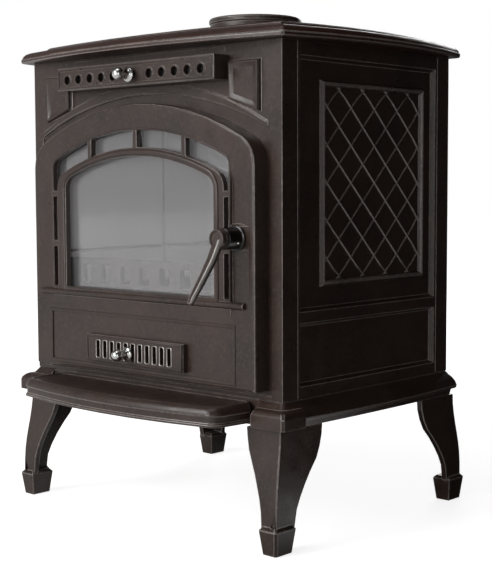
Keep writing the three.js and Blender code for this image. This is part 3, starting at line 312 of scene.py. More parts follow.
def vermiculite(name, base):
    """Pressed vermiculite board: flaky, pale and quite matt, a little sooted"""
    made, tree, place, shader = new_material(name)
    # Flakes of 3.5 mm, and soot that gathers over 90 mm
    flakes = add(tree, "ShaderNodeTexVoronoi", {"Scale": per_mm(3.5), "Vector": place}).outputs["Distance"]
    edge = add(tree, RANGE, {"Value": flakes, "From Max": 0.8})
    tone = add(tree, MIX, {0: edge, 6: base, 7: shade(base, 0.72)}, data_type="RGBA")
    cloud = add(tree, NOISE, {"Scale": per_mm(90), "Detail": 6.0, "Vector": place})
    soot = add(tree, RANGE, {**MIDDLE, "Value": cloud, "To Max": 0.4})
    sooted = add(tree, MIX, {0: soot, 6: tone.outputs[2], 7: shade(base, 0.45)}, data_type="RGBA")
    bump = add(tree, BUMP, {"Strength": 0.6, "Distance": 0.5 * MM, "Height": flakes})
    plug(tree, shader, {"Base Color": sooted.outputs[2], "Roughness": 0.92, "Normal": bump})
    return made


BRIGHT_SIDE = (-0.6, -0.8, 0.0)
GLINT_AT = (0.52, -0.04, 0.0)
CARD = 0.86  # how much light the studio card gives back


def studio_level(tree, direction, dark):
    """Brightness of the studio by direction: full ahead and on the left, dark behind and on the right"""
    unit = add(tree, VECTOR, {0: direction}, operation="NORMALIZE")
    toward = add(tree, VECTOR, {0: unit, 1: BRIGHT_SIDE}, operation="DOT_PRODUCT").outputs["Value"]
    return add(
        tree, RANGE, {"Value": toward, "From Min": -0.7, "From Max": 0.6, "To Min": dark},
        interpolation_type="SMOOTHSTEP")


def studio_floor(name, base):
    """Matt white card: white to the lens and through glass, dimmer in reflections, with the shadow kept"""
    made, tree, place, shader = new_material(name)
    path = add(tree, "ShaderNodeLightPath").outputs
    mirrored = path["Is Glossy Ray"]
    # The card's tooth of 0.3 mm, drawn 30 mm wide to show
    tooth = add(tree, NOISE, {"Scale": per_mm(30), "Detail": 2.0, "Vector": place})
    dull = add(tree, RANGE, {**MIDDLE, "Value": tooth, "To Min": 0.85, "To Max": 0.95})
    # A bright spot low on the right, only in reflections, where the lattice catches it
    away = add(tree, VECTOR, {0: place, 1: GLINT_AT}, operation="DISTANCE").outputs["Value"]
    glint = add(
        tree, RANGE, {"Value": away, "From Min": 0.1, "From Max": 0.36, "To Min": 1.2, "To Max": 0.0},
        interpolation_type="SMOOTHSTEP")
    far = add(tree, VECTOR, {0: place}, operation="LENGTH").outputs["Value"]
    fade = add(tree, RANGE, {"Value": far, "From Min": 0.4, "From Max": 4.0, "To Min": 0.55})
    room = add(tree, MATH, {0: studio_level(tree, place, 0.03), 1: fade}, operation="MULTIPLY")
    level = add(tree, MATH, {0: room, 1: glint}, operation="MAXIMUM")
    # Less light bounces up from it than the lens sees, so that the dark side stays dark
    half = add(tree, MATH, {0: level, 1: 0.5}, operation="MULTIPLY")
    dimmed = add(tree, MATH, {0: half, 1: CARD}, operation="MINIMUM")
    lost = add(tree, MATH, {0: path["Is Diffuse Ray"], 1: 0.56}, operation="MULTIPLY")
    bounced = add(tree, MATH, {0: CARD, 1: lost}, operation="SUBTRACT")
    tone = add(tree, MIX, {0: mirrored, 2: bounced, 3: dimmed}, data_type="FLOAT")
    seen = add(tree, MATH, {0: path["Is Camera Ray"], 1: path["Is Transmission Ray"]}, operation="MAXIMUM")
    white = add(
        tree, RANGE, {"Value": far, "From Min": 0.8, "From Max": 3.0, "To Min": 0.8},
        interpolation_type="SMOOTHSTEP")
    shown = add(tree, MATH, {0: seen, 1: white}, operation="MULTIPLY")
    lit = add(tree, MATH, {0: mirrored, 1: level}, operation="MULTIPLY")
    sheen = add(tree, MATH, {0: lit, 1: 0.6}, operation="MULTIPLY")
    glow = add(tree, MATH, {0: shown, 1: sheen}, operation="ADD")
    plug(tree, shader, {
        "Base Color": tone, "Roughness": dull, "Specular IOR Level": 0.0, "Emission Color": base,
        "Emission Strength": glow,
    })
    return made


def make_finishes(colours):
    """Every finish of the stove, by the name its pieces use"""
    iron, steel, brick = colours.iron, colours.steel, colours.brick
    return {
        # Brown-black enamel on a casting: semi-gloss, with a warm cast where it is thin
        "iron": cast_iron("Cast iron, brown-black enamel", iron),
        # The same enamel in a redder batch, on the top
        "top": cast_iron("Cast iron, red-brown enamel", colours.top),
        # Enamel worn smooth and thin over an edge, glossier, and painted much paler as a highlight, so
        # edges catch the light
        "arris": cast_iron("Enamel worn at the arris, painted highlight", colours.arris, (0.2, 0.3), 2.8, 0.08, 0.9),
        # Enamel on a turned boss: nearly black and without grain
        "gloss": cast_iron(
            "Cast iron, black gloss enamel", shade(iron, 0.12), (0.18, 0.28), 2.5, 0.03, 0.3),
        # Uncoated casting in the fire: dull, grey and rough
        "bare": cast_iron("Cast iron, dulled by fire", colours.bare, (0.62, 0.8), 1.6, 0.15, 0.0),
        # The lever's ridge, where hands rub, and the slots' lips: bright bare metal, near white as a
        # painted highlight
        "rubbed": rubbed_iron_and_highlight("Iron rubbed bright, painted highlight", colours.rubbed),
        # Plain sheet and turned fittings: grey, with a sheen along the grain
        "steel": rolled_steel("Rolled steel", steel),
        # Sheet left in its mill scale: blue-black and low in gloss
        "black": rolled_steel("Steel under black mill scale", shade(steel, 0.16)),
        # The knobs and the boss's pin: small bright mirrors
        "chrome": chrome_plate("Chrome plate", colours.chrome),
        # The window: half a mirror of the studio, half the bricks behind
        "glass": fire_glass("Coated glass ceramic"),
        # Seals of the door and its glass: dusty grey weave
        "rope": fibre_rope("Glass-fibre rope", colours.rope),
        # Firebox lining: pale and chalky
        "brick": vermiculite("Vermiculite brick", brick),
        # Its joints, blackened by smoke
        "soot": vermiculite("Vermiculite brick, sooted in its joints", shade(brick, 0.12)),
    }


FINISH = {}


def finish_of(key):
    """A finish by its name; all of them are made at the first call"""
    if not FINISH:
        FINISH.update(make_finishes(bpy.context.scene.stove_colours))
    return FINISH[key]


# ---------------------------------------------------------------- mesh helpers


def piece_from(mesh, name, body, replaced=()):
    """Puts a finished mesh on its body under its name and hides the nodes that it stands for"""
    made = bpy.data.objects.new(name, mesh)
    bpy.context.scene.collection.objects.link(made)
    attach(made, body)
    if replaced:
        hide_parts(*replaced)
    return made


def mesh_from(bm, name, finishes, smooth_angle=35.0):
    """Closes a bmesh into a mesh that is smooth up to the given angle"""
    bmesh.ops.recalc_face_normals(bm, faces=bm.faces)
    mesh = bpy.data.meshes.new(name)
    bm.to_mesh(mesh)
    bm.free()
    for finish in finishes:
        mesh.materials.append(finish)
    mesh.shade_smooth()
    mesh.set_sharp_from_angle(angle=math.radians(smooth_angle))
    return mesh


def held(mesh, name):
    """A passing object that holds a mesh while modifiers work on it"""
    holder = bpy.data.objects.new(name + "_holder", mesh)
    bpy.context.scene.collection.objects.link(holder)
    return holder


def released(holder, name):
    """What the modifiers made, as a plain mesh; the holder goes, with its modifiers"""
    depsgraph = bpy.context.evaluated_depsgraph_get()
    result = bpy.data.meshes.new_from_object(holder.evaluated_get(depsgraph))
    result.name = name
    bpy.data.objects.remove(holder)
    return result


def baked(mesh, name, modifiers):
    """The mesh after modifiers, as a plain mesh"""
    holder = held(mesh, name)
    for kind, settings in modifiers:
        modifier = holder.modifiers.new(kind.title(), kind)
        for key, value in settings.items():
            setattr(modifier, key, value)
    return released(holder, name)


def arrises(width, segments=2, angle=30.0, worn=True):
    """Bevel that rounds every edge sharper than the angle, its faces in the second finish"""
    # On enamelled castings the second finish is the paler arris one, a painted highlight on the rounded
    # edges
    return ("BEVEL", {
        "width": width, "segments": segments, "limit_method": "ANGLE", "angle_limit": math.radians(angle),
        "use_clamp_overlap": False, "material": 1 if worn else -1, "miter_outer": "MITER_ARC",
    })


# Keeps the flat faces flat beside rounded arrises
FLATTENED = ("WEIGHTED_NORMAL", {"mode": "FACE_AREA", "weight": 60, "keep_sharp": True})


WELD = 0.05 * MM  # CAD corners nearer than this are one


def casting(node, body, finish, width):
    """A CAD casting with its facets joined, its curves smooth and its arrises rounded"""
    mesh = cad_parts[node].data.copy()
    bm = bmesh.new()
    bm.from_mesh(mesh)
    bmesh.ops.remove_doubles(bm, verts=bm.verts, dist=WELD)
    bm.to_mesh(mesh)
    bm.free()
    mesh.materials.clear()
    mesh.materials.append(finish_of(finish))
    # Bevel faces get the paler arris finish: worn enamel painted as a highlight
    mesh.materials.append(finish_of("arris" if finish in ("iron", "top") else finish))
    mesh.shade_smooth()
    mesh.set_sharp_from_angle(angle=math.radians(30))
    result = baked(mesh, node + "_cast", [arrises(width), FLATTENED])
    return piece_from(result, node + "_cast", body, [node])


def turned_mesh(name, profile, centre, finishes, sides=48, smooth_angle=40.0):
    """Revolves a profile of (radius, distance ahead), in metres, about a line along Y"""
    bm = bmesh.new()
    rings = []
    for radius, ahead in profile:
        y = centre.y - ahead
        if radius < 1e-7:
            rings.append([bm.verts.new((centre.x, y, centre.z))])
            continue
        turns = [2 * math.pi * i / sides for i in range(sides)]
        rings.append([
            bm.verts.new((centre.x + radius * math.cos(t), y, centre.z + radius * math.sin(t)))
            for t in turns])
    for low, high in zip(rings, rings[1:]):
        for i in range(sides):
            corners = [
                ring[j % len(ring)] for ring, j in ((low, i), (low, i + 1), (high, i + 1), (high, i))]
            bm.faces.new(list(dict.fromkeys(corners)))
    # A profile that ends where it starts is closed into a tube
    bmesh.ops.remove_doubles(bm, verts=bm.verts, dist=0.001 * MM)
    return mesh_from(bm, name, finishes, smooth_angle)


def metres(pairs):
    """Pairs of millimetres, in metres"""
    return [(one * MM, two * MM) for one, two in pairs]


def inset_corner(before, corner, after, inset):
    """Where a convex outline's corner goes when both its edges move inwards"""
    one = (Vector(corner) - Vector(before)).normalized()
    two = (Vector(after) - Vector(corner)).normalized()
    mitre = (Vector((-one.y, one.x)) + Vector((-two.y, two.x))).normalized()
    reach = inset / max(0.2, mitre.dot(Vector((-one.y, one.x))))
    return Vector(corner) + mitre * reach


def moulding(bm, outline, profile, place):
    """Sweeps a profile of (inset, height) round a convex anticlockwise outline with mitred corners"""
    count = len(outline)
    rings = []
    for inset, high in profile:
        corners = [
            inset_corner(outline[i - 1], outline[i], outline[(i + 1) % count], inset) for i in range(count)]
        rings.append([bm.verts.new(place(c.x, c.y, high)) for c in corners])
    for one, two in zip(rings, rings[1:] + rings[:1]):
        for i in range(count):
            bm.faces.new((one[i], one[(i + 1) % count], two[(i + 1) % count], two[i]))


def beads(name, body, rows, smooth_angle=35.0):
    """A piece of raised iron trim; each row is an outline, its profile and how far ahead its ground is"""
    bm = bmesh.new()
    for outline, profile, off in rows:
        moulding(bm, outline, profile, lambda x, z, high, off=off: at(x, off + high, z))
    mesh = mesh_from(bm, name, [finish_of("iron")], smooth_angle)
    return piece_from(mesh, name, body)


def rectangle(u0, u1, v0, v1):
    """An anticlockwise outline from its limits"""
    return [(u0, v0), (u1, v0), (u1, v1), (u0, v1)]


def arch_outline(half, bottom, apex, radius, shoulder, out):
    """Low arch on straight sides with rounded shoulders, moved outwards, anticlockwise, in millimetres"""
    turn = shoulder + out
    centre = apex - radius
    across = half + out - turn
    rise = centre + math.sqrt((radius + out - turn) ** 2 - across ** 2)
    tangent = math.atan2(rise - centre, across)
    bends = [tangent * i / 8 for i in range(9)]
    right = [(across + turn * math.cos(a), rise + turn * math.sin(a)) for a in bends]
    sweep = [tangent + (math.pi - 2 * tangent) * i / 24 for i in range(1, 24)]
    crown = [((radius + out) * math.cos(a), centre + (radius + out) * math.sin(a)) for a in sweep]
    left = [(-x, z) for x, z in reversed(right)]
    return [(-half - out, bottom - out), (half + out, bottom - out)] + right + crown + left


def half_round(width, high, steps=6, sunk=0.6):
    """Profile of a half-round bead of this width and height, in millimetres"""
    points = [(0.0, -sunk)]
    for i in range(steps + 1):
        turn = math.pi * i / steps
        points.append((width / 2 - width / 2 * math.cos(turn), high * math.sin(turn)))
    return points + [(width, -sunk)]


# ---------------------------------------------------------------- geometry nodes

JOIN = "GeometryNodeJoinGeometry"
TRANSFORM = "GeometryNodeTransform"
CIRCLE = "GeometryNodeCurvePrimitiveCircle"
SWEEP = "GeometryNodeCurveToMesh"
LINE = "GeometryNodeMeshLine"
CYLINDER = "GeometryNodeMeshCylinder"
COPIES = "GeometryNodeInstanceOnPoints"
REALIZE = "GeometryNodeRealizeInstances"
REPLACE = "GeometryNodeSetPosition"
COMPARE = "FunctionNodeCompare"

NOWHERE = (0.0, 0.0, 0.0)
FACING_AHEAD = (math.pi / 2, 0.0, 0.0)
SOCKET_KINDS = {int: "NodeSocketInt", float: "NodeSocketFloat", tuple: "NodeSocketVector"}


def node_group(name, inputs):
    """A geometry tree with these inputs and a material; returns it with its inputs' sockets"""
    tree = bpy.data.node_groups.new(name, "GeometryNodeTree")
    for way in ("OUTPUT", "INPUT"):
        tree.interface.new_socket("Geometry", in_out=way, socket_type="NodeSocketGeometry")
    for label, default in inputs.items():
        made = tree.interface.new_socket(label, in_out="INPUT", socket_type=SOCKET_KINDS[type(default)])
        made.default_value = default
    tree.interface.new_socket("Material", in_out="INPUT", socket_type="NodeSocketMaterial")
    return tree, add(tree, "NodeGroupInput").outputs


def close_group(tree, out, geometry):
    """Realize Instances, then Set Material, then the output"""
    real = add(tree, REALIZE, {0: geometry})
    painted = add(tree, "GeometryNodeSetMaterial", {"Geometry": real, "Material": out["Material"]})
    add(tree, "NodeGroupOutput", {0: painted})
    return tree


def grown(tree, values, name, finish, base=None, smooth_angle=40.0):
    """Runs a tree on a base mesh and gives the result back as a plain mesh"""
    holder = held(base or bpy.data.meshes.new(name + "_seed"), name)
    modifier = holder.modifiers.new("Repeat", "NODES")
    modifier.node_group = tree
    identifiers = {
        item.name: item.identifier for item in tree.interface.items_tree if item.in_out == "INPUT"}
    for label, value in {"Material": finish, **values}.items():
        modifier[identifiers[label]] = value
    result = released(holder, name)
    result.shade_smooth()
    result.set_sharp_from_angle(angle=math.radians(smooth_angle))
    return result


def points_mesh(name, points):
    """Loose points for a tree to put its copies on"""
    mesh = bpy.data.meshes.new(name)
    mesh.from_pydata([tuple(p) for p in points], [], [])
    return mesh


def lattice_tree():
    """Crossed ribs with a domed stud at each crossing, laid on a grid and squared off at its limits"""
    tree, out = node_group("Diamond lattice", {
        "Columns": 9, "Rows": 11, "Step Y": 26.2 * MM, "Step Z": 25.2 * MM, "Rib Width": 2.2 * MM,
        "Rib Height": 2.2 * MM, "Stud Radius": 2.0 * MM, "Side": 1.0, "Centre": NOWHERE, "Low": NOWHERE,
        "High": NOWHERE,
    })
    columns = add(tree, MATH, {0: out["Columns"], 1: 1.0}, operation="SUBTRACT")
    rows = add(tree, MATH, {0: out["Rows"], 1: 1.0}, operation="SUBTRACT")
    grid = add(tree, "GeometryNodeMeshGrid", {
        "Size X": add(tree, MATH, {0: out["Step Y"], 1: columns}, operation="MULTIPLY"),
        "Size Y": add(tree, MATH, {0: out["Step Z"], 1: rows}, operation="MULTIPLY"),
        "Vertices X": out["Columns"], "Vertices Y": out["Rows"],
    })
    # Every second point is a crossing
    turn = add(tree, MATH, {0: add(tree, "GeometryNodeInputIndex"), 1: 2.0}, operation="MODULO")
    even = add(tree, COMPARE, {"A": turn, "B": 0.5}, data_type="FLOAT", operation="LESS_THAN")
    kept = add(tree, "GeometryNodeDeleteGeometry", {"Geometry": grid, "Selection": even}, domain="POINT")
    # Two crossed ribs of one cell, round and then swelled to their height
    rib = add(tree, CIRCLE, {
        "Resolution": 8, "Radius": add(tree, MATH, {0: out["Rib Width"], 1: 0.5}, operation="MULTIPLY")})
    step = add(tree, XYZ, {0: out["Step Y"], 1: out["Step Z"]})
    bars = []
    for lean in (-0.5, 0.5):
        start, end = (
            add(tree, VECTOR, {0: step, 1: (way * lean, way * 0.5, 0.0)}, operation="MULTIPLY")
            for way in (-1.0, 1.0))
        line = add(tree, "GeometryNodeCurvePrimitiveLine", {"Start": start, "End": end})
        bars.append(add(tree, SWEEP, {"Curve": line, "Profile Curve": rib, "Fill Caps": True}))
    double = add(tree, MATH, {0: out["Rib Height"], 1: 2.0}, operation="MULTIPLY")
    swell = add(tree, MATH, {0: double, 1: out["Rib Width"]}, operation="DIVIDE")
    ribs = add(tree, TRANSFORM, {
        0: add(tree, JOIN, {0: bars}), "Scale": add(tree, XYZ, {0: 1.0, 1: 1.0, 2: swell})})
    ball = add(tree, "GeometryNodeMeshUVSphere", {"Segments": 12, "Rings": 8, "Radius": out["Stud Radius"]})
    stud = add(tree, TRANSFORM, {0: ball, "Scale": (1.0, 1.0, 1.35)})
    unit = add(tree, JOIN, {0: [ribs, stud]})
    real = add(tree, REALIZE, {0: add(tree, COPIES, {"Points": kept, "Instance": unit})})
    # Squared off at the frame, then stood up on the side
    where = add(tree, "GeometryNodeInputPosition")
    above = add(tree, VECTOR, {0: where, 1: out["Low"]}, operation="MAXIMUM")
    within = add(tree, VECTOR, {0: above, 1: out["High"]}, operation="MINIMUM")
    split = add(tree, "ShaderNodeSeparateXYZ", {0: within}).outputs
    relief = add(tree, MATH, {0: split[2], 1: out["Side"]}, operation="MULTIPLY")
    upright = add(tree, XYZ, {0: relief, 1: split[0], 2: split[1]})
    moved = add(tree, VECTOR, {0: upright, 1: out["Centre"]}, operation="ADD")
    laid = add(tree, REPLACE, {"Geometry": real, "Position": moved})
    mirrored = add(tree, COMPARE, {"A": out["Side"], "B": 0.0}, data_type="FLOAT", operation="LESS_THAN")
    faced = add(tree, "GeometryNodeFlipFaces", {"Mesh": laid, "Selection": mirrored})
    return close_group(tree, out, faced)


def rim_tree():
    """Rolled lips: a ring on every point, facing ahead"""
    tree, out = node_group("Rolled lips", {"Radius": 6.2 * MM, "Lip": 1.5 * MM})
    wire = add(tree, CIRCLE, {
        "Resolution": 10, "Radius": add(tree, MATH, {0: out["Lip"], 1: 0.5}, operation="MULTIPLY")})
    outward = add(tree, MATH, {0: out["Lip"], 1: 0.35}, operation="MULTIPLY")
    ring = add(tree, CIRCLE, {
        "Resolution": 32, "Radius": add(tree, MATH, {0: out["Radius"], 1: outward}, operation="ADD")})
    lip = add(tree, SWEEP, {"Curve": ring, "Profile Curve": wire})
    return close_group(tree, out, add(tree, COPIES, {
        "Points": out["Geometry"], "Instance": lip, "Rotation": FACING_AHEAD}))


def slot_tree():
    """Raised lips round a row of upright slots"""
    tree, out = node_group("Slot lips", {
        "Count": 11, "Pitch": 14.65 * MM, "Width": 8.5 * MM, "Height": 25.5 * MM, "Lip": 1.5 * MM,
        "Centre": NOWHERE,
    })
    gaps = add(tree, MATH, {0: out["Count"], 1: 1.0}, operation="SUBTRACT")
    half = add(tree, MATH, {0: out["Pitch"], 1: -0.5}, operation="MULTIPLY")
    reach = add(tree, XYZ, {0: add(tree, MATH, {0: gaps, 1: half}, operation="MULTIPLY")})
    row = add(tree, LINE, {
        "Count": out["Count"], "Offset": add(tree, XYZ, {0: out["Pitch"]}),
        "Start Location": add(tree, VECTOR, {0: reach, 1: out["Centre"]}, operation="ADD"),
    })
    shape = add(tree, "GeometryNodeCurvePrimitiveQuadrilateral", {
        "Width": out["Width"], "Height": out["Height"]})
    corner = add(tree, MATH, {0: out["Width"], 1: 0.2}, operation="MULTIPLY")
    eased = add(
        tree, "GeometryNodeFilletCurve", {"Count": 4, "Curve": shape, "Radius": corner}, mode="POLY")
    wire = add(tree, CIRCLE, {
        "Resolution": 8, "Radius": add(tree, MATH, {0: out["Lip"], 1: 0.5}, operation="MULTIPLY")})
    lip = add(tree, SWEEP, {"Curve": eased, "Profile Curve": wire})
    return close_group(tree, out, add(tree, COPIES, {
        "Points": row, "Instance": lip, "Rotation": FACING_AHEAD}))


def bolt_tree():
    """Hexagon bolt heads with a washer, one on every point, turned by one rotation"""
    tree, out = node_group("Bolt heads", {
        "Across": 8 * MM, "Head": 4 * MM, "Washer": 6.2 * MM, "Turn": NOWHERE})
    # Hexagon radius from its width across flats, then the two radii of its domed top
    point, low, high = (
        add(tree, MATH, {0: out["Across"], 1: part}, operation="MULTIPLY") for part in (0.577, 0.48, 0.36))
    dome, seat, up, down = (
        add(tree, MATH, {0: out["Head"], 1: part}, operation="MULTIPLY") for part in (0.2, 0.3, 0.5, -0.5))
    head = add(tree, CYLINDER, {"Vertices": 6, "Radius": point, "Depth": out["Head"]})
    cone = add(tree, "GeometryNodeMeshCone", {
        "Vertices": 24, "Radius Bottom": low, "Radius Top": high, "Depth": dome})
    plate = add(tree, CYLINDER, {"Vertices": 24, "Radius": out["Washer"], "Depth": seat})
    ends = [
        add(tree, TRANSFORM, {0: part, "Translation": add(tree, XYZ, {2: place})})
        for part, place in ((cone, up), (plate, down))]
    unit = add(tree, JOIN, {0: [head, *ends]})
    return close_group(tree, out, add(tree, COPIES, {
        "Points": out["Geometry"], "Instance": unit, "Rotation": out["Turn"]}))


def brick_tree():
    """Courses of bricks in one plane: blocks on a grid, each smaller than its cell by the joint"""
    tree, out = node_group("Fire bricks", {
        "Columns": 2, "Courses": 2, "Length": 206 * MM, "Height": 216 * MM, "Thickness": 25 * MM,
        "Joint": 3.6 * MM, "First": NOWHERE, "Turn": NOWHERE, "Low": NOWHERE, "High": NOWHERE,
    })
    wide, tall = (
        add(tree, MATH, {0: out[key], 1: out["Joint"]}, operation="SUBTRACT")
        for key in ("Length", "Height"))
    size = add(tree, XYZ, {0: wide, 1: out["Thickness"], 2: tall})
    brick = add(tree, "GeometryNodeMeshCube", {"Size": size})
    for axis, count, pitch in ((0, "Columns", "Length"), (2, "Courses", "Height")):
        line = add(tree, LINE, {"Count": out[count], "Offset": add(tree, XYZ, {axis: out[pitch]})})
        brick = add(tree, COPIES, {"Points": line, "Instance": brick})
    laid = add(tree, TRANSFORM, {0: brick, "Rotation": out["Turn"], "Translation": out["First"]})
    real = add(tree, REALIZE, {0: laid})
    # Cut off at the space's ends and bottom
    where = add(tree, "GeometryNodeInputPosition")
    above = add(tree, VECTOR, {0: where, 1: out["Low"]}, operation="MAXIMUM")
    within = add(tree, VECTOR, {0: above, 1: out["High"]}, operation="MINIMUM")
    return close_group(tree, out, add(tree, REPLACE, {"Geometry": real, "Position": within}))


# ---------------------------------------------------------------- operators

ARRIS = 0.9 * MM  # the default, which the widths below go with

# Cabinet castings: node, finish and arris in millimetres
CASTINGS = (
    ("leg_front_left", "iron", 1.4), ("leg_front_right", "iron", 1.4),
    ("leg_rear_left", "iron", 1.4), ("leg_rear_right", "iron", 1.4),
    ("base_plate", "iron", 0.9), ("ash_lip", "iron", 0.8), ("front_plate", "iron", 0.7),
    ("back_plate", "iron", 1.2), ("top_plate", "top", 0.9), ("flue_collar", "iron", 0.7),
    ("air_housing", "iron", 0.5),
)


class STOVE_OT_body(bpy.types.Operator):
    """Castings of the cabinet: legs, base, hearth lip, front, back, top, collar and air bar"""

    bl_idname = "stove.body"
    bl_label = "Cabinet castings"

    def execute(self, context):
        scale = context.scene.stove_sizes.arris / ARRIS
        for node, finish, width in CASTINGS:
            casting(node, "stove", finish, width * scale * MM)
        return {"FINISHED"}


# Side castings, in millimetres from the side's middle and above the cabinet's floor
PANEL_DEPTH = 7.0
PANEL_EDGE = 4.5
PANEL_SLOPE = 4.2
LOWER = (16.0, 99.0)
UPPER = (114.0, 445.0)
PICTURE = (-105.0, 129.0, 144.0, 417.0)
PICTURE_HIGH = 6.0
PICTURE_WIDE = 10.0
LATTICE_MID = (14.0, 281.3)
LATTICE_LAP = 3.0  # how far the ribs run under the picture frame


def side_name(kind, side):
    return f"{kind}_{'left' if side < 0 else 'right'}"


class STOVE_OT_sides(bpy.types.Operator):
    """Side castings: sunk panels, moulded picture frame and the studded diamond lattice"""

    bl_idname = "stove.sides"
    bl_label = "Side castings"

    def plate(self, side, arris):
        """Slab with two sunk panels and the raised frame, as closed shells in one mesh"""
        inner, y0, z0 = SIDE_LOW
        outer, y1, z1 = SIDE_HIGH
        floor = outer - PANEL_DEPTH * MM
        edge = PANEL_EDGE * MM
        slope = PANEL_SLOPE * MM
        rows = [z0, *(BODY_LOW + z * MM for z in LOWER + UPPER), z1]
        columns = [y0, y0 + edge, y1 - edge, y1]
        bm = bmesh.new()

        def grid(x):
            return [[bm.verts.new((side * x, y, z)) for y in columns] for z in rows]

        skin, back = grid(outer), grid(inner)
        for r in range(5):
            for c in range(3):
                quad = [(r, c), (r, c + 1), (r + 1, c + 1), (r + 1, c)]
                bm.faces.new([back[i][j] for i, j in quad])
                if c != 1 or r not in (1, 3):
                    bm.faces.new([skin[i][j] for i, j in quad])
                    continue
                corners = rectangle(
                    columns[1] + slope, columns[2] - slope, rows[r] + slope, rows[r + 1] - slope)
                sunk = [bm.verts.new((side * floor, y, z)) for y, z in corners]
                bm.faces.new(sunk)
                for i, (a, b) in enumerate(zip(quad, quad[1:] + quad[:1])):
                    bm.faces.new((skin[a[0]][a[1]], skin[b[0]][b[1]], sunk[(i + 1) % 4], sunk[i]))
        border = [(0, c) for c in range(4)] + [(r, 3) for r in range(1, 6)]
        border += [(5, c) for c in (2, 1, 0)] + [(r, 0) for r in (4, 3, 2, 1)]
        for a, b in zip(border, border[1:] + border[:1]):
            bm.faces.new((skin[a[0]][a[1]], skin[b[0]][b[1]], back[b[0]][b[1]], back[a[0]][a[1]]))

        def on_floor(y, z, high):
            return (side * (floor + high * MM), SIDE_MID_Y + y * MM, BODY_LOW + z * MM)

        wide, high = PICTURE_WIDE, PICTURE_HIGH
        moulding(bm, rectangle(*PICTURE), [
            (0, -0.5), (0, 0.6), (2.6, high - 1.2), (3.4, high - 0.3), (4.4, high), (5.6, high - 0.5),
            (6.4, high - 1.6), (7.2, high - 2.0), (wide - 0.2, 0.4), (wide, -0.5),
        ], on_floor)
        name = side_name("side_plate", side)
        # The plate's rounded edges take the paler arris finish, a painted highlight
        mesh = mesh_from(bm, name + "_cast", [finish_of("iron"), finish_of("arris")], 30.0)
        result = baked(mesh, name + "_cast", [arrises(arris, 2, 26.0), FLATTENED])
        return piece_from(result, name + "_cast", "stove", [name])

    def execute(self, context):
        sizes = context.scene.stove_sizes
        tree = lattice_tree()
        floor = SIDE_HIGH.x - PANEL_DEPTH * MM
        mid_y, mid_z = LATTICE_MID
        left, right, foot, head = PICTURE
        low = ((left + LATTICE_LAP - mid_y) * MM, (foot + LATTICE_LAP - mid_z) * MM, -1.0)
        high = ((right - LATTICE_LAP - mid_y) * MM, (head - LATTICE_LAP - mid_z) * MM, 1.0)
        for side in (-1, 1):
            self.plate(side, 0.8 * sizes.arris)
            name = side_name("lattice", side)
            centre = (side * floor, SIDE_MID_Y + mid_y * MM, BODY_LOW + mid_z * MM)
            # The whole lattice is in the paler arris finish: a painted highlight on its ribs and studs
            mesh = grown(tree, {
                "Columns": 9, "Rows": 11, "Step Y": sizes.lattice_step_y, "Step Z": sizes.lattice_step_z,
                "Rib Width": sizes.lattice_rib, "Rib Height": sizes.lattice_high, "Stud Radius": sizes.stud,
                "Side": float(side), "Centre": centre, "Low": low, "High": high,
            }, name, finish_of("arris"))
            piece_from(mesh, name, "stove")
        return {"FINISHED"}


# Front trim, in millimetres: the air bar's face, its row of holes and the bead round its front,
# then the corner field beside the arch on the front casting's face
BAR_OFF = 29.9
HOLES_OFF = 30.2
HOLES_UP = 431
BAR_BEAD = (-155.6, 155.6, 418.6, 446.4)
CORNER_OFF = 5.0
CORNER_FIELD = [(162.0, 392.0), (213.4, 374.6), (213.4, 439.4), (162.0, 439.4)]
CORNER_RAMP = [(0, -0.5), (0, 1.2), (0.8, 2.0), (2.4, 2.0), (3.0, 1.6), (8.6, 0.05), (8.6, -0.5)]
FLANGE_THICK = 8.0
BOLT_CIRCLE = 82  # radius of the collar's four bolts


class STOVE_OT_trim(bpy.types.Operator):
    """Rolled lips of the air bar, beads on the front casting, and the collar's bolts"""

    bl_idname = "stove.trim"
    bl_label = "Front trim and fixings"

    def execute(self, context):
        sizes = context.scene.stove_sizes
        pitch = sizes.hole_pitch / MM
        across = [pitch * (1.5 + i) for i in range(5)]
        places = [at(side * x, HOLES_OFF, HOLES_UP) for x in across for side in (-1, 1)]
        rims = grown(
            rim_tree(), {"Radius": sizes.hole_radius, "Lip": sizes.hole_lip}, "air_hole_lips",
            finish_of("iron"), points_mesh("hole_points", places))
        piece_from(rims, "air_hole_lips", "stove")

        mirrored = [(-x, z) for x, z in reversed(CORNER_FIELD)]
        beads("front_beads", "stove", [
            (rectangle(*BAR_BEAD), half_round(2.2, 1.1), BAR_OFF),
            (mirrored, CORNER_RAMP, CORNER_OFF), (CORNER_FIELD, CORNER_RAMP, CORNER_OFF),
        ], 24.0)

        turn = [math.radians(45 + 90 * i) for i in range(4)]
        collar_low, collar_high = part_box("flue_collar")
        centre = (collar_low + collar_high) / 2
        flange_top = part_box("top_plate")[1].z + FLANGE_THICK * MM
        away = BOLT_CIRCLE * MM
        bolts = points_mesh("bolt_points", [
            (centre.x + away * math.cos(t), centre.y + away * math.sin(t), flange_top) for t in turn])
        heads = grown(
            bolt_tree(), {"Across": 8 * MM, "Head": 4 * MM, "Washer": 6.2 * MM, "Turn": (0.0, 0.0, 0.0)},
            "collar_bolts", finish_of("steel"), bolts)
        piece_from(heads, "collar_bolts", "stove")
        return {"FINISHED"}


# Half-width, bottom, crown, radius of the arch and of its shoulders, in millimetres
WINDOW = (151.0, 131.0, 320.0, 362.0, 20.0)
SLOT_RING = (179.0, 131.0, 356.0, 398.0, 12.0)
DOOR_OFF = 24.0
DOOR_PANEL = (-190.0, 190.0, 18.0, 98.0)
PANEL_STEP = [(0, -0.5), (0, 0.5), (0.7, 1.1), (1.8, 1.1), (4.6, 0.05), (4.6, -0.5)]
CLAMP_OFF = 4.4
CLAMP_SCREWS = (
    (-150, 123), (-50, 123), (50, 123), (150, 123), (-182, 190), (-182, 270), (182, 190), (182, 270))


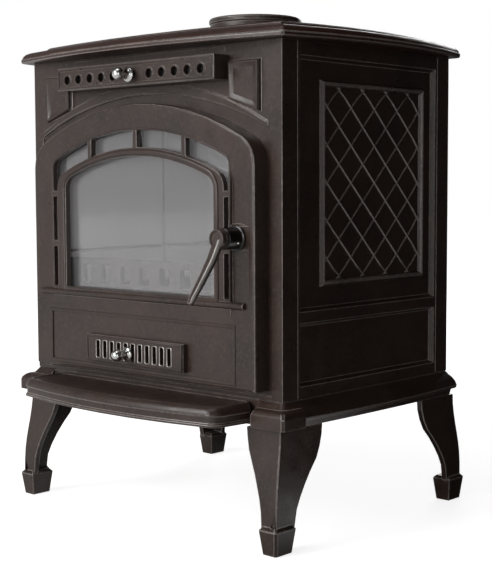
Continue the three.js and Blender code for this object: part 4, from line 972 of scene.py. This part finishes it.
class STOVE_OT_door(bpy.types.Operator):
    """Door casting with its glass, tape, clamp, rope and hinge pins"""

    bl_idname = "stove.door"
    bl_label = "Door"

    def execute(self, context):
        scale = context.scene.stove_sizes.arris / ARRIS
        casting("door", "door", "iron", 0.8 * scale * MM)
        beads("door_panel_bead", "door", [(rectangle(*DOOR_PANEL), PANEL_STEP, DOOR_OFF)], 24.0)
        beads("window_beads", "door", [
            (arch_outline(*WINDOW, 9.5), half_round(8.0, 2.2, 8), DOOR_OFF),
            (arch_outline(*SLOT_RING, 2.9), half_round(2.6, 0.9), DOOR_OFF),
        ])
        casting("glass_clamp", "door", "black", 0.3 * scale * MM)
        casting("door_rope", "door", "rope", 2.2 * MM)
        casting("glass_seal", "door", "rope", 0.4 * MM)
        casting("hinge_pin_lower", "stove", "steel", 0.3 * MM)
        casting("hinge_pin_upper", "stove", "steel", 0.3 * MM)
        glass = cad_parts["door_glass"]
        glass.data.materials.clear()
        glass.data.materials.append(finish_of("glass"))
        screws = points_mesh("clamp_points", [at(x, CLAMP_OFF, z) for x, z in CLAMP_SCREWS])
        heads = grown(
            bolt_tree(),
            {"Across": 5 * MM, "Head": 3 * MM, "Washer": 3.6 * MM, "Turn": (-math.pi / 2, 0.0, 0.0)},
            "clamp_screws", finish_of("steel"), screws)
        piece_from(heads, "clamp_screws", "door")
        return {"FINISHED"}


# Lower slide, in millimetres: its face, and the row of slots in it
SLIDE_OFF = 31.3
SLIDE_FACE = (-98.0, 98.0, 28.0, 65.0)
SLOTS_AT = (0, 31.4, 46)
SLOTS_TALL = 24

# Knob's foot and neck, in millimetres out from its axis and ahead; then the ball, on its own centre
KNOB_FOOT = (
    (2.5, 0.0), (7.0, 0.0), (7.4, 1.6), (8.6, 3.0), (10.0, 3.8), (10.3, 4.6), (10.0, 5.4), (8.6, 6.2),
    (7.0, 7.2), (5.9, 8.8), (5.2, 11.0), (4.9, 13.4),
)
NECK = 4.9 * MM
BALL_AHEAD = 22 * MM
BALL_STEPS = 16


class STOVE_OT_slides(bpy.types.Operator):
    """Air slides with their slotted face, strap and turned chrome knobs"""

    bl_idname = "stove.slides"
    bl_label = "Air slides and knobs"

    def knob(self, name, box, body, node, ball):
        """Chrome knob: flared foot, waisted neck and ball, with its stem running back"""
        x = (box[0].x + box[1].x) / 2
        z = (box[0].z + box[1].z) / 2
        foot = box[0].y + ball + BALL_AHEAD
        reach = box[1].y - foot
        profile = [(0.0, -reach), (KNOB_FOOT[0][0] * MM, -reach)] + metres(KNOB_FOOT)
        start = -math.acos(NECK / ball)
        for i in range(BALL_STEPS):
            angle = start + (math.pi / 2 - start) * i / BALL_STEPS
            profile.append((ball * math.cos(angle), BALL_AHEAD + ball * math.sin(angle)))
        profile.append((0.0, BALL_AHEAD + ball))
        mesh = turned_mesh(name, profile, Vector((x, foot, z)), [finish_of("chrome")])
        return piece_from(mesh, name, body, [node])

    def execute(self, context):
        sizes = context.scene.stove_sizes
        casting("air_slide", "upper_air", "black", 0.3 * MM)
        casting("lower_slide", "lower_air", "iron", 0.5 * MM)
        casting("lower_strap", "lower_air", "black", 0.3 * MM)
        # The lips are near-white bare metal, a painted highlight round each slot
        lips = grown(slot_tree(), {
            "Count": sizes.slots, "Pitch": sizes.slot_pitch, "Width": sizes.slot_width + sizes.slot_lip,
            "Height": SLOTS_TALL * MM + sizes.slot_lip, "Lip": sizes.slot_lip, "Centre": at(*SLOTS_AT),
        }, "slot_lips", finish_of("rubbed"))
        piece_from(lips, "slot_lips", "lower_air")
        beads("slide_bead", "lower_air", [(rectangle(*SLIDE_FACE), half_round(2.6, 1.3), SLIDE_OFF)])
        self.knob("upper_air_knob", KNOB_UP, "upper_air", "air_knob", sizes.knob_ball)
        self.knob("lower_air_knob", KNOB_DOWN, "lower_air", "lower_knob", sizes.knob_ball)
        return {"FINISHED"}


# Turned parts of the handle, in millimetres out from the axis and ahead of the cabinet's face
HUB = (
    (6.4, 24.3), (16.2, 24.3), (17.0, 25.0), (17.0, 26.6), (16.2, 27.3), (14.4, 27.6), (14.0, 28.4),
    (14.0, 48.6), (13.2, 49.6), (12.0, 50.0), (6.4, 50.0), (6.4, 24.3),
)
PIN = ((0, 12.0), (2.1, 12.0), (2.1, 14.3), (1.7, 15.0), (0.9, 15.4), (0, 15.5))
PIN_AHEAD = 33.0
PIN_DIP = math.radians(24)
HEAD = (
    (0, -19.0), (4.0, -19.0), (4.0, -12.0), (6.0, -12.0), (6.0, 50.4), (12.4, 50.4), (13.2, 51.2),
    (13.2, 54.0), (12.6, 54.6), (12.6, 56.0), (13.2, 56.6), (13.2, 60.0), (12.4, 61.2), (10.2, 61.6),
    (9.4, 60.4), (0, 60.0),
)

# Lever: its lean, length, place ahead of the face and curl outwards, in millimetres
# Enamel, the paler arris finish on the bevels and near-white metal on the ridge: the last two partly wear,
# partly painted highlights
LEVER_FINISHES = ("iron", "arris", "rubbed")
LEVER_LEAN = 27
LEVER_LONG = 84
LEVER_OFF = 51.9
LEVER_CURL = 28

# Each row: how far down and how far out, as parts of the length and the curl, then width and thickness
LEVER_ROWS = (
    (0.0, 0.0, 19.0, 11.0), (0.12, 0.04, 18.0, 10.8), (0.3, 0.16, 16.6, 10.4), (0.5, 0.38, 15.4, 10.0),
    (0.7, 0.62, 14.2, 9.6), (0.88, 0.86, 12.6, 9.0), (0.97, 0.97, 10.0, 7.0), (1.0, 1.0, 6.0, 4.0),
)


class STOVE_OT_handle(bpy.types.Operator):
    """Latch handle: gloss-black hub with its pin, spindle, ridged lever and inner cam"""

    bl_idname = "stove.handle"
    bl_label = "Handle"

    def lever(self, centre):
        """Ridged arm hanging from the turned head"""
        bm = bmesh.new()
        rings = []
        for down, out, width, thick in LEVER_ROWS:
            x = centre.x - LEVER_LEAN * MM * down
            z = centre.z - LEVER_LONG * MM * down
            y = FACE_Y - (LEVER_OFF + LEVER_CURL * out) * MM
            half, deep = width / 2 * MM, thick * MM
            section = [
                (-half, -0.15 * deep), (-half, -0.5 * deep), (-0.8 * half, -0.66 * deep),
                (0.3 * half, -0.74 * deep), (0.42 * half, -deep), (0.78 * half, -deep),
                (half, -0.7 * deep), (half, -0.15 * deep), (0.4 * half, 0.0), (-0.6 * half, 0.0),
            ]
            rings.append([bm.verts.new((x + u, y + v, z)) for u, v in section])
        for one, two in zip(rings, rings[1:]):
            for i in range(len(one)):
                following = (i + 1) % len(one)
                face = bm.faces.new((one[i], one[following], two[following], two[i]))
                # The ridge's near-white metal is partly wear from hands and partly a painted highlight
                face.material_index = 2 if i in (3, 4, 5) else 0  # the ridge is rubbed bright
        bm.faces.new(rings[0])
        bm.faces.new(rings[-1])
        mesh = mesh_from(bm, "lever_arm", [finish_of(key) for key in LEVER_FINISHES], 30.0)
        return baked(mesh, "lever_arm", [arrises(0.7 * MM, 3, 22.0), FLATTENED])

    def execute(self, context):
        centre = (HUB_BOX[0] + HUB_BOX[1]) / 2
        axis = Vector((centre.x, FACE_Y, centre.z))
        mesh = turned_mesh("handle_boss", metres(HUB), axis, [finish_of("gloss")], 64)
        piece_from(mesh, "handle_boss", "door", ["handle_hub"])
        mesh = turned_mesh("boss_pin", metres(PIN), Vector(), [finish_of("chrome")], 24)
        aim = Vector((math.cos(PIN_DIP), 0.0, -math.sin(PIN_DIP)))
        turn = Vector((0.0, -1.0, 0.0)).rotation_difference(aim).to_matrix().to_4x4()
        mesh.transform(Matrix.Translation(axis + Vector((0.0, -PIN_AHEAD * MM, 0.0))) @ turn)
        piece_from(mesh, "boss_pin", "door")
        mesh = turned_mesh("lever_head", metres(HEAD), axis, [finish_of("iron")], 48)
        arm = self.lever(axis)
        bm = bmesh.new()
        bm.from_mesh(mesh)
        bm.from_mesh(arm)
        joined = bpy.data.meshes.new("handle_arm")
        bm.to_mesh(joined)
        bm.free()
        for key in LEVER_FINISHES:
            joined.materials.append(finish_of(key))
        piece_from(joined, "handle_arm", "handle", ["handle_lever"])
        casting("latch_cam", "handle", "steel", 0.6 * MM)
        return {"FINISHED"}


class STOVE_OT_firebox(bpy.types.Operator):
    """Inside: fire bricks, baffle, grate, log guard and ash pan"""

    bl_idname = "stove.firebox"
    bl_label = "Firebox"

    def bricks(self, tree, name, node, columns, turn, begin):
        """Bricks of one size in the space of one CAD slab; those at its end and bottom are cut"""
        sizes = bpy.context.scene.stove_sizes
        low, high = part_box(node)
        middle = (low + high) / 2
        first = Vector((middle.x, middle.y, high.z - 1.5 * sizes.brick_height))
        if turn:
            first.y = begin + sizes.brick_length / 2
        else:
            first.x = begin + sizes.brick_length / 2
        mesh = grown(tree, {
            "Columns": columns, "Courses": 2, "Length": sizes.brick_length, "Height": sizes.brick_height,
            "Thickness": high.x - low.x if turn else high.y - low.y, "Joint": sizes.brick_joint,
            "First": first,
            "Turn": (0.0, 0.0, math.pi / 2 if turn else 0.0), "Low": low, "High": high,
        }, name, finish_of("brick"))
        rounded = baked(mesh, name, [arrises(1.8 * MM, 2, 30.0, False), FLATTENED])
        rounded.materials.append(finish_of("soot"))
        # Faces that look along the wall are in a joint
        for face in rounded.polygons:
            face.material_index = int(abs(face.normal.x if turn else face.normal.y) < 0.6)
        piece_from(rounded, name, "stove", [node])

    def execute(self, context):
        tree = brick_tree()
        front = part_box("brick_left")[0].y
        for side in ("left", "right"):
            self.bricks(tree, f"side_bricks_{side}", f"brick_{side}", 2, True, front)
        begin = -1.5 * context.scene.stove_sizes.brick_length
        self.bricks(tree, "back_bricks", "brick_back", 3, False, begin)
        casting("baffle", "stove", "black", 0.6 * MM)
        casting("grate", "stove", "bare", 1.2 * MM)
        casting("log_guard", "stove", "bare", 1.0 * MM)
        casting("ash_pan", "stove", "steel", 0.3 * MM)
        return {"FINISHED"}


# The lens that took the reference view: metres, degrees and millimetres
CAMERA_AT = Vector((1.3037, -1.3663, 0.4754))
CAMERA_TURN = 42.67
CAMERA_DIP = 4.53
CAMERA_ROLL = -0.24
CAMERA_LENS = 79.76
FLOOR_HALF = 14.0
FLOOR_BELOW = 0.2 * MM

# Soft lamps: name, place and aim in metres, width, height and watts
LAMPS = (
    ("left_softbox", (-1.0, -2.8, 2.1), (0.0, 0.0, 0.35), 1.5, 1.5, 40.0),
    ("strip_softbox", (0.0, -2.8, 0.7), (0.0, 0.0, 0.45), 1.4, 0.5, 18.0),
    ("edge_strip", (1.9, -1.77, 0.6), (0.0, 0.0, 0.4), 0.1, 1.6, 3.5),
    ("back_softbox", (-1.3, 2.9, 1.5), (0.0, 0.0, 0.35), 1.6, 1.2, 22.0),
    ("high_softbox", (0.0, -0.7, 2.6), (0.0, 0.0, 0.4), 1.2, 1.2, 6.0),
)


class STOVE_OT_stage(bpy.types.Operator):
    """Camera, floor, world and soft lamps"""

    bl_idname = "stove.stage"
    bl_label = "Studio"

    def camera(self, scene):
        """Camera at the reference view"""
        data = bpy.data.cameras.new("studio_camera")
        data.lens = CAMERA_LENS
        data.sensor_width = 36.0
        data.clip_end = 50.0
        made = bpy.data.objects.new("studio_camera", data)
        scene.collection.objects.link(made)
        made.matrix_world = Matrix.Translation(CAMERA_AT)
        for degrees, axis in ((CAMERA_TURN, "Z"), (90 - CAMERA_DIP, "X"), (CAMERA_ROLL, "Z")):
            made.matrix_world = made.matrix_world @ Matrix.Rotation(math.radians(degrees), 4, axis)
        scene.camera = made

    def lamp(self, scene, name, place, aim, wide, high, watts):
        """A rectangular lamp that faces its aim"""
        data = bpy.data.lights.new(name, "AREA")
        data.energy = watts
        data.shape = "RECTANGLE"
        data.size = wide
        data.size_y = high
        made = bpy.data.objects.new(name, data)
        scene.collection.objects.link(made)
        made.location = place
        made.rotation_mode = "QUATERNION"
        made.rotation_quaternion = (Vector(aim) - Vector(place)).to_track_quat("-Z", "Y")

    def world(self, scene, white):
        """Pale near the horizon on the front's side, dim overhead and to the right; white to the lens"""
        scene.world = bpy.data.worlds.new("studio")
        scene.world.use_nodes = True
        tree = scene.world.node_tree
        tree.nodes.clear()
        direction = add(tree, "ShaderNodeTexCoord").outputs["Generated"]
        height = add(tree, "ShaderNodeSeparateXYZ", {0: direction}).outputs[2]
        over = add(
            tree, RANGE, {"Value": height, "From Max": 0.6, "To Min": 1.0, "To Max": 0.22},
            interpolation_type="SMOOTHSTEP")
        dimmed = add(tree, MATH, {0: over, 1: 0.55}, operation="MULTIPLY")
        level = add(tree, MATH, {0: studio_level(tree, direction, 0.04), 1: dimmed}, operation="MULTIPLY")
        seen = add(tree, "ShaderNodeLightPath").outputs["Is Camera Ray"]
        strength = add(tree, MIX, {0: seen, 2: level, 3: 1.0}, data_type="FLOAT")
        glow = add(tree, "ShaderNodeBackground", {"Color": white, "Strength": strength})
        add(tree, "ShaderNodeOutputWorld", {"Surface": glow})

    def execute(self, context):
        scene = context.scene
        scene.view_settings.view_transform = "Standard"
        self.camera(scene)
        bm = bmesh.new()
        bmesh.ops.create_grid(bm, x_segments=1, y_segments=1, size=FLOOR_HALF)
        floor = mesh_from(bm, "studio_floor", [studio_floor("Studio floor", scene.stove_colours.floor)])
        made = bpy.data.objects.new("studio_floor", floor)
        made.location.z = CAD_BOX[0].z - FLOOR_BELOW
        scene.collection.objects.link(made)
        self.world(scene, tuple(scene.stove_colours.floor))
        for row in LAMPS:
            self.lamp(scene, *row)
        return {"FINISHED"}


STEPS = (
    STOVE_OT_body, STOVE_OT_sides, STOVE_OT_trim, STOVE_OT_door, STOVE_OT_slides, STOVE_OT_handle,
    STOVE_OT_firebox, STOVE_OT_stage,
)


class STOVE_PT_panel(bpy.types.Panel):
    """Lists the sizes, the colours and the steps"""

    bl_idname = "STOVE_PT_panel"
    bl_label = "Cabinet stove"
    bl_space_type = "VIEW_3D"
    bl_region_type = "UI"
    bl_category = "Stove"

    def draw(self, context):
        for group in (context.scene.stove_sizes, context.scene.stove_colours):
            box = self.layout.box()
            for name in group.bl_rna.properties.keys():
                if name not in ("rna_type", "name"):
                    box.prop(group, name)
        for step in STEPS:
            self.layout.operator(step.bl_idname)


CLASSES = (StoveSizes, StoveColours, *STEPS, STOVE_PT_panel)


def register():
    for cls in CLASSES:
        bpy.utils.register_class(cls)
    bpy.types.Scene.stove_sizes = PointerProperty(type=StoveSizes)
    bpy.types.Scene.stove_colours = PointerProperty(type=StoveColours)


def unregister():
    del bpy.types.Scene.stove_colours
    del bpy.types.Scene.stove_sizes
    for cls in reversed(CLASSES):
        bpy.utils.unregister_class(cls)


def main():
    """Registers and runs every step"""
    register()
    for step in STEPS:
        group, name = step.bl_idname.split(".")
        getattr(getattr(bpy.ops, group), name)()


if __name__ == "__main__":
    main()
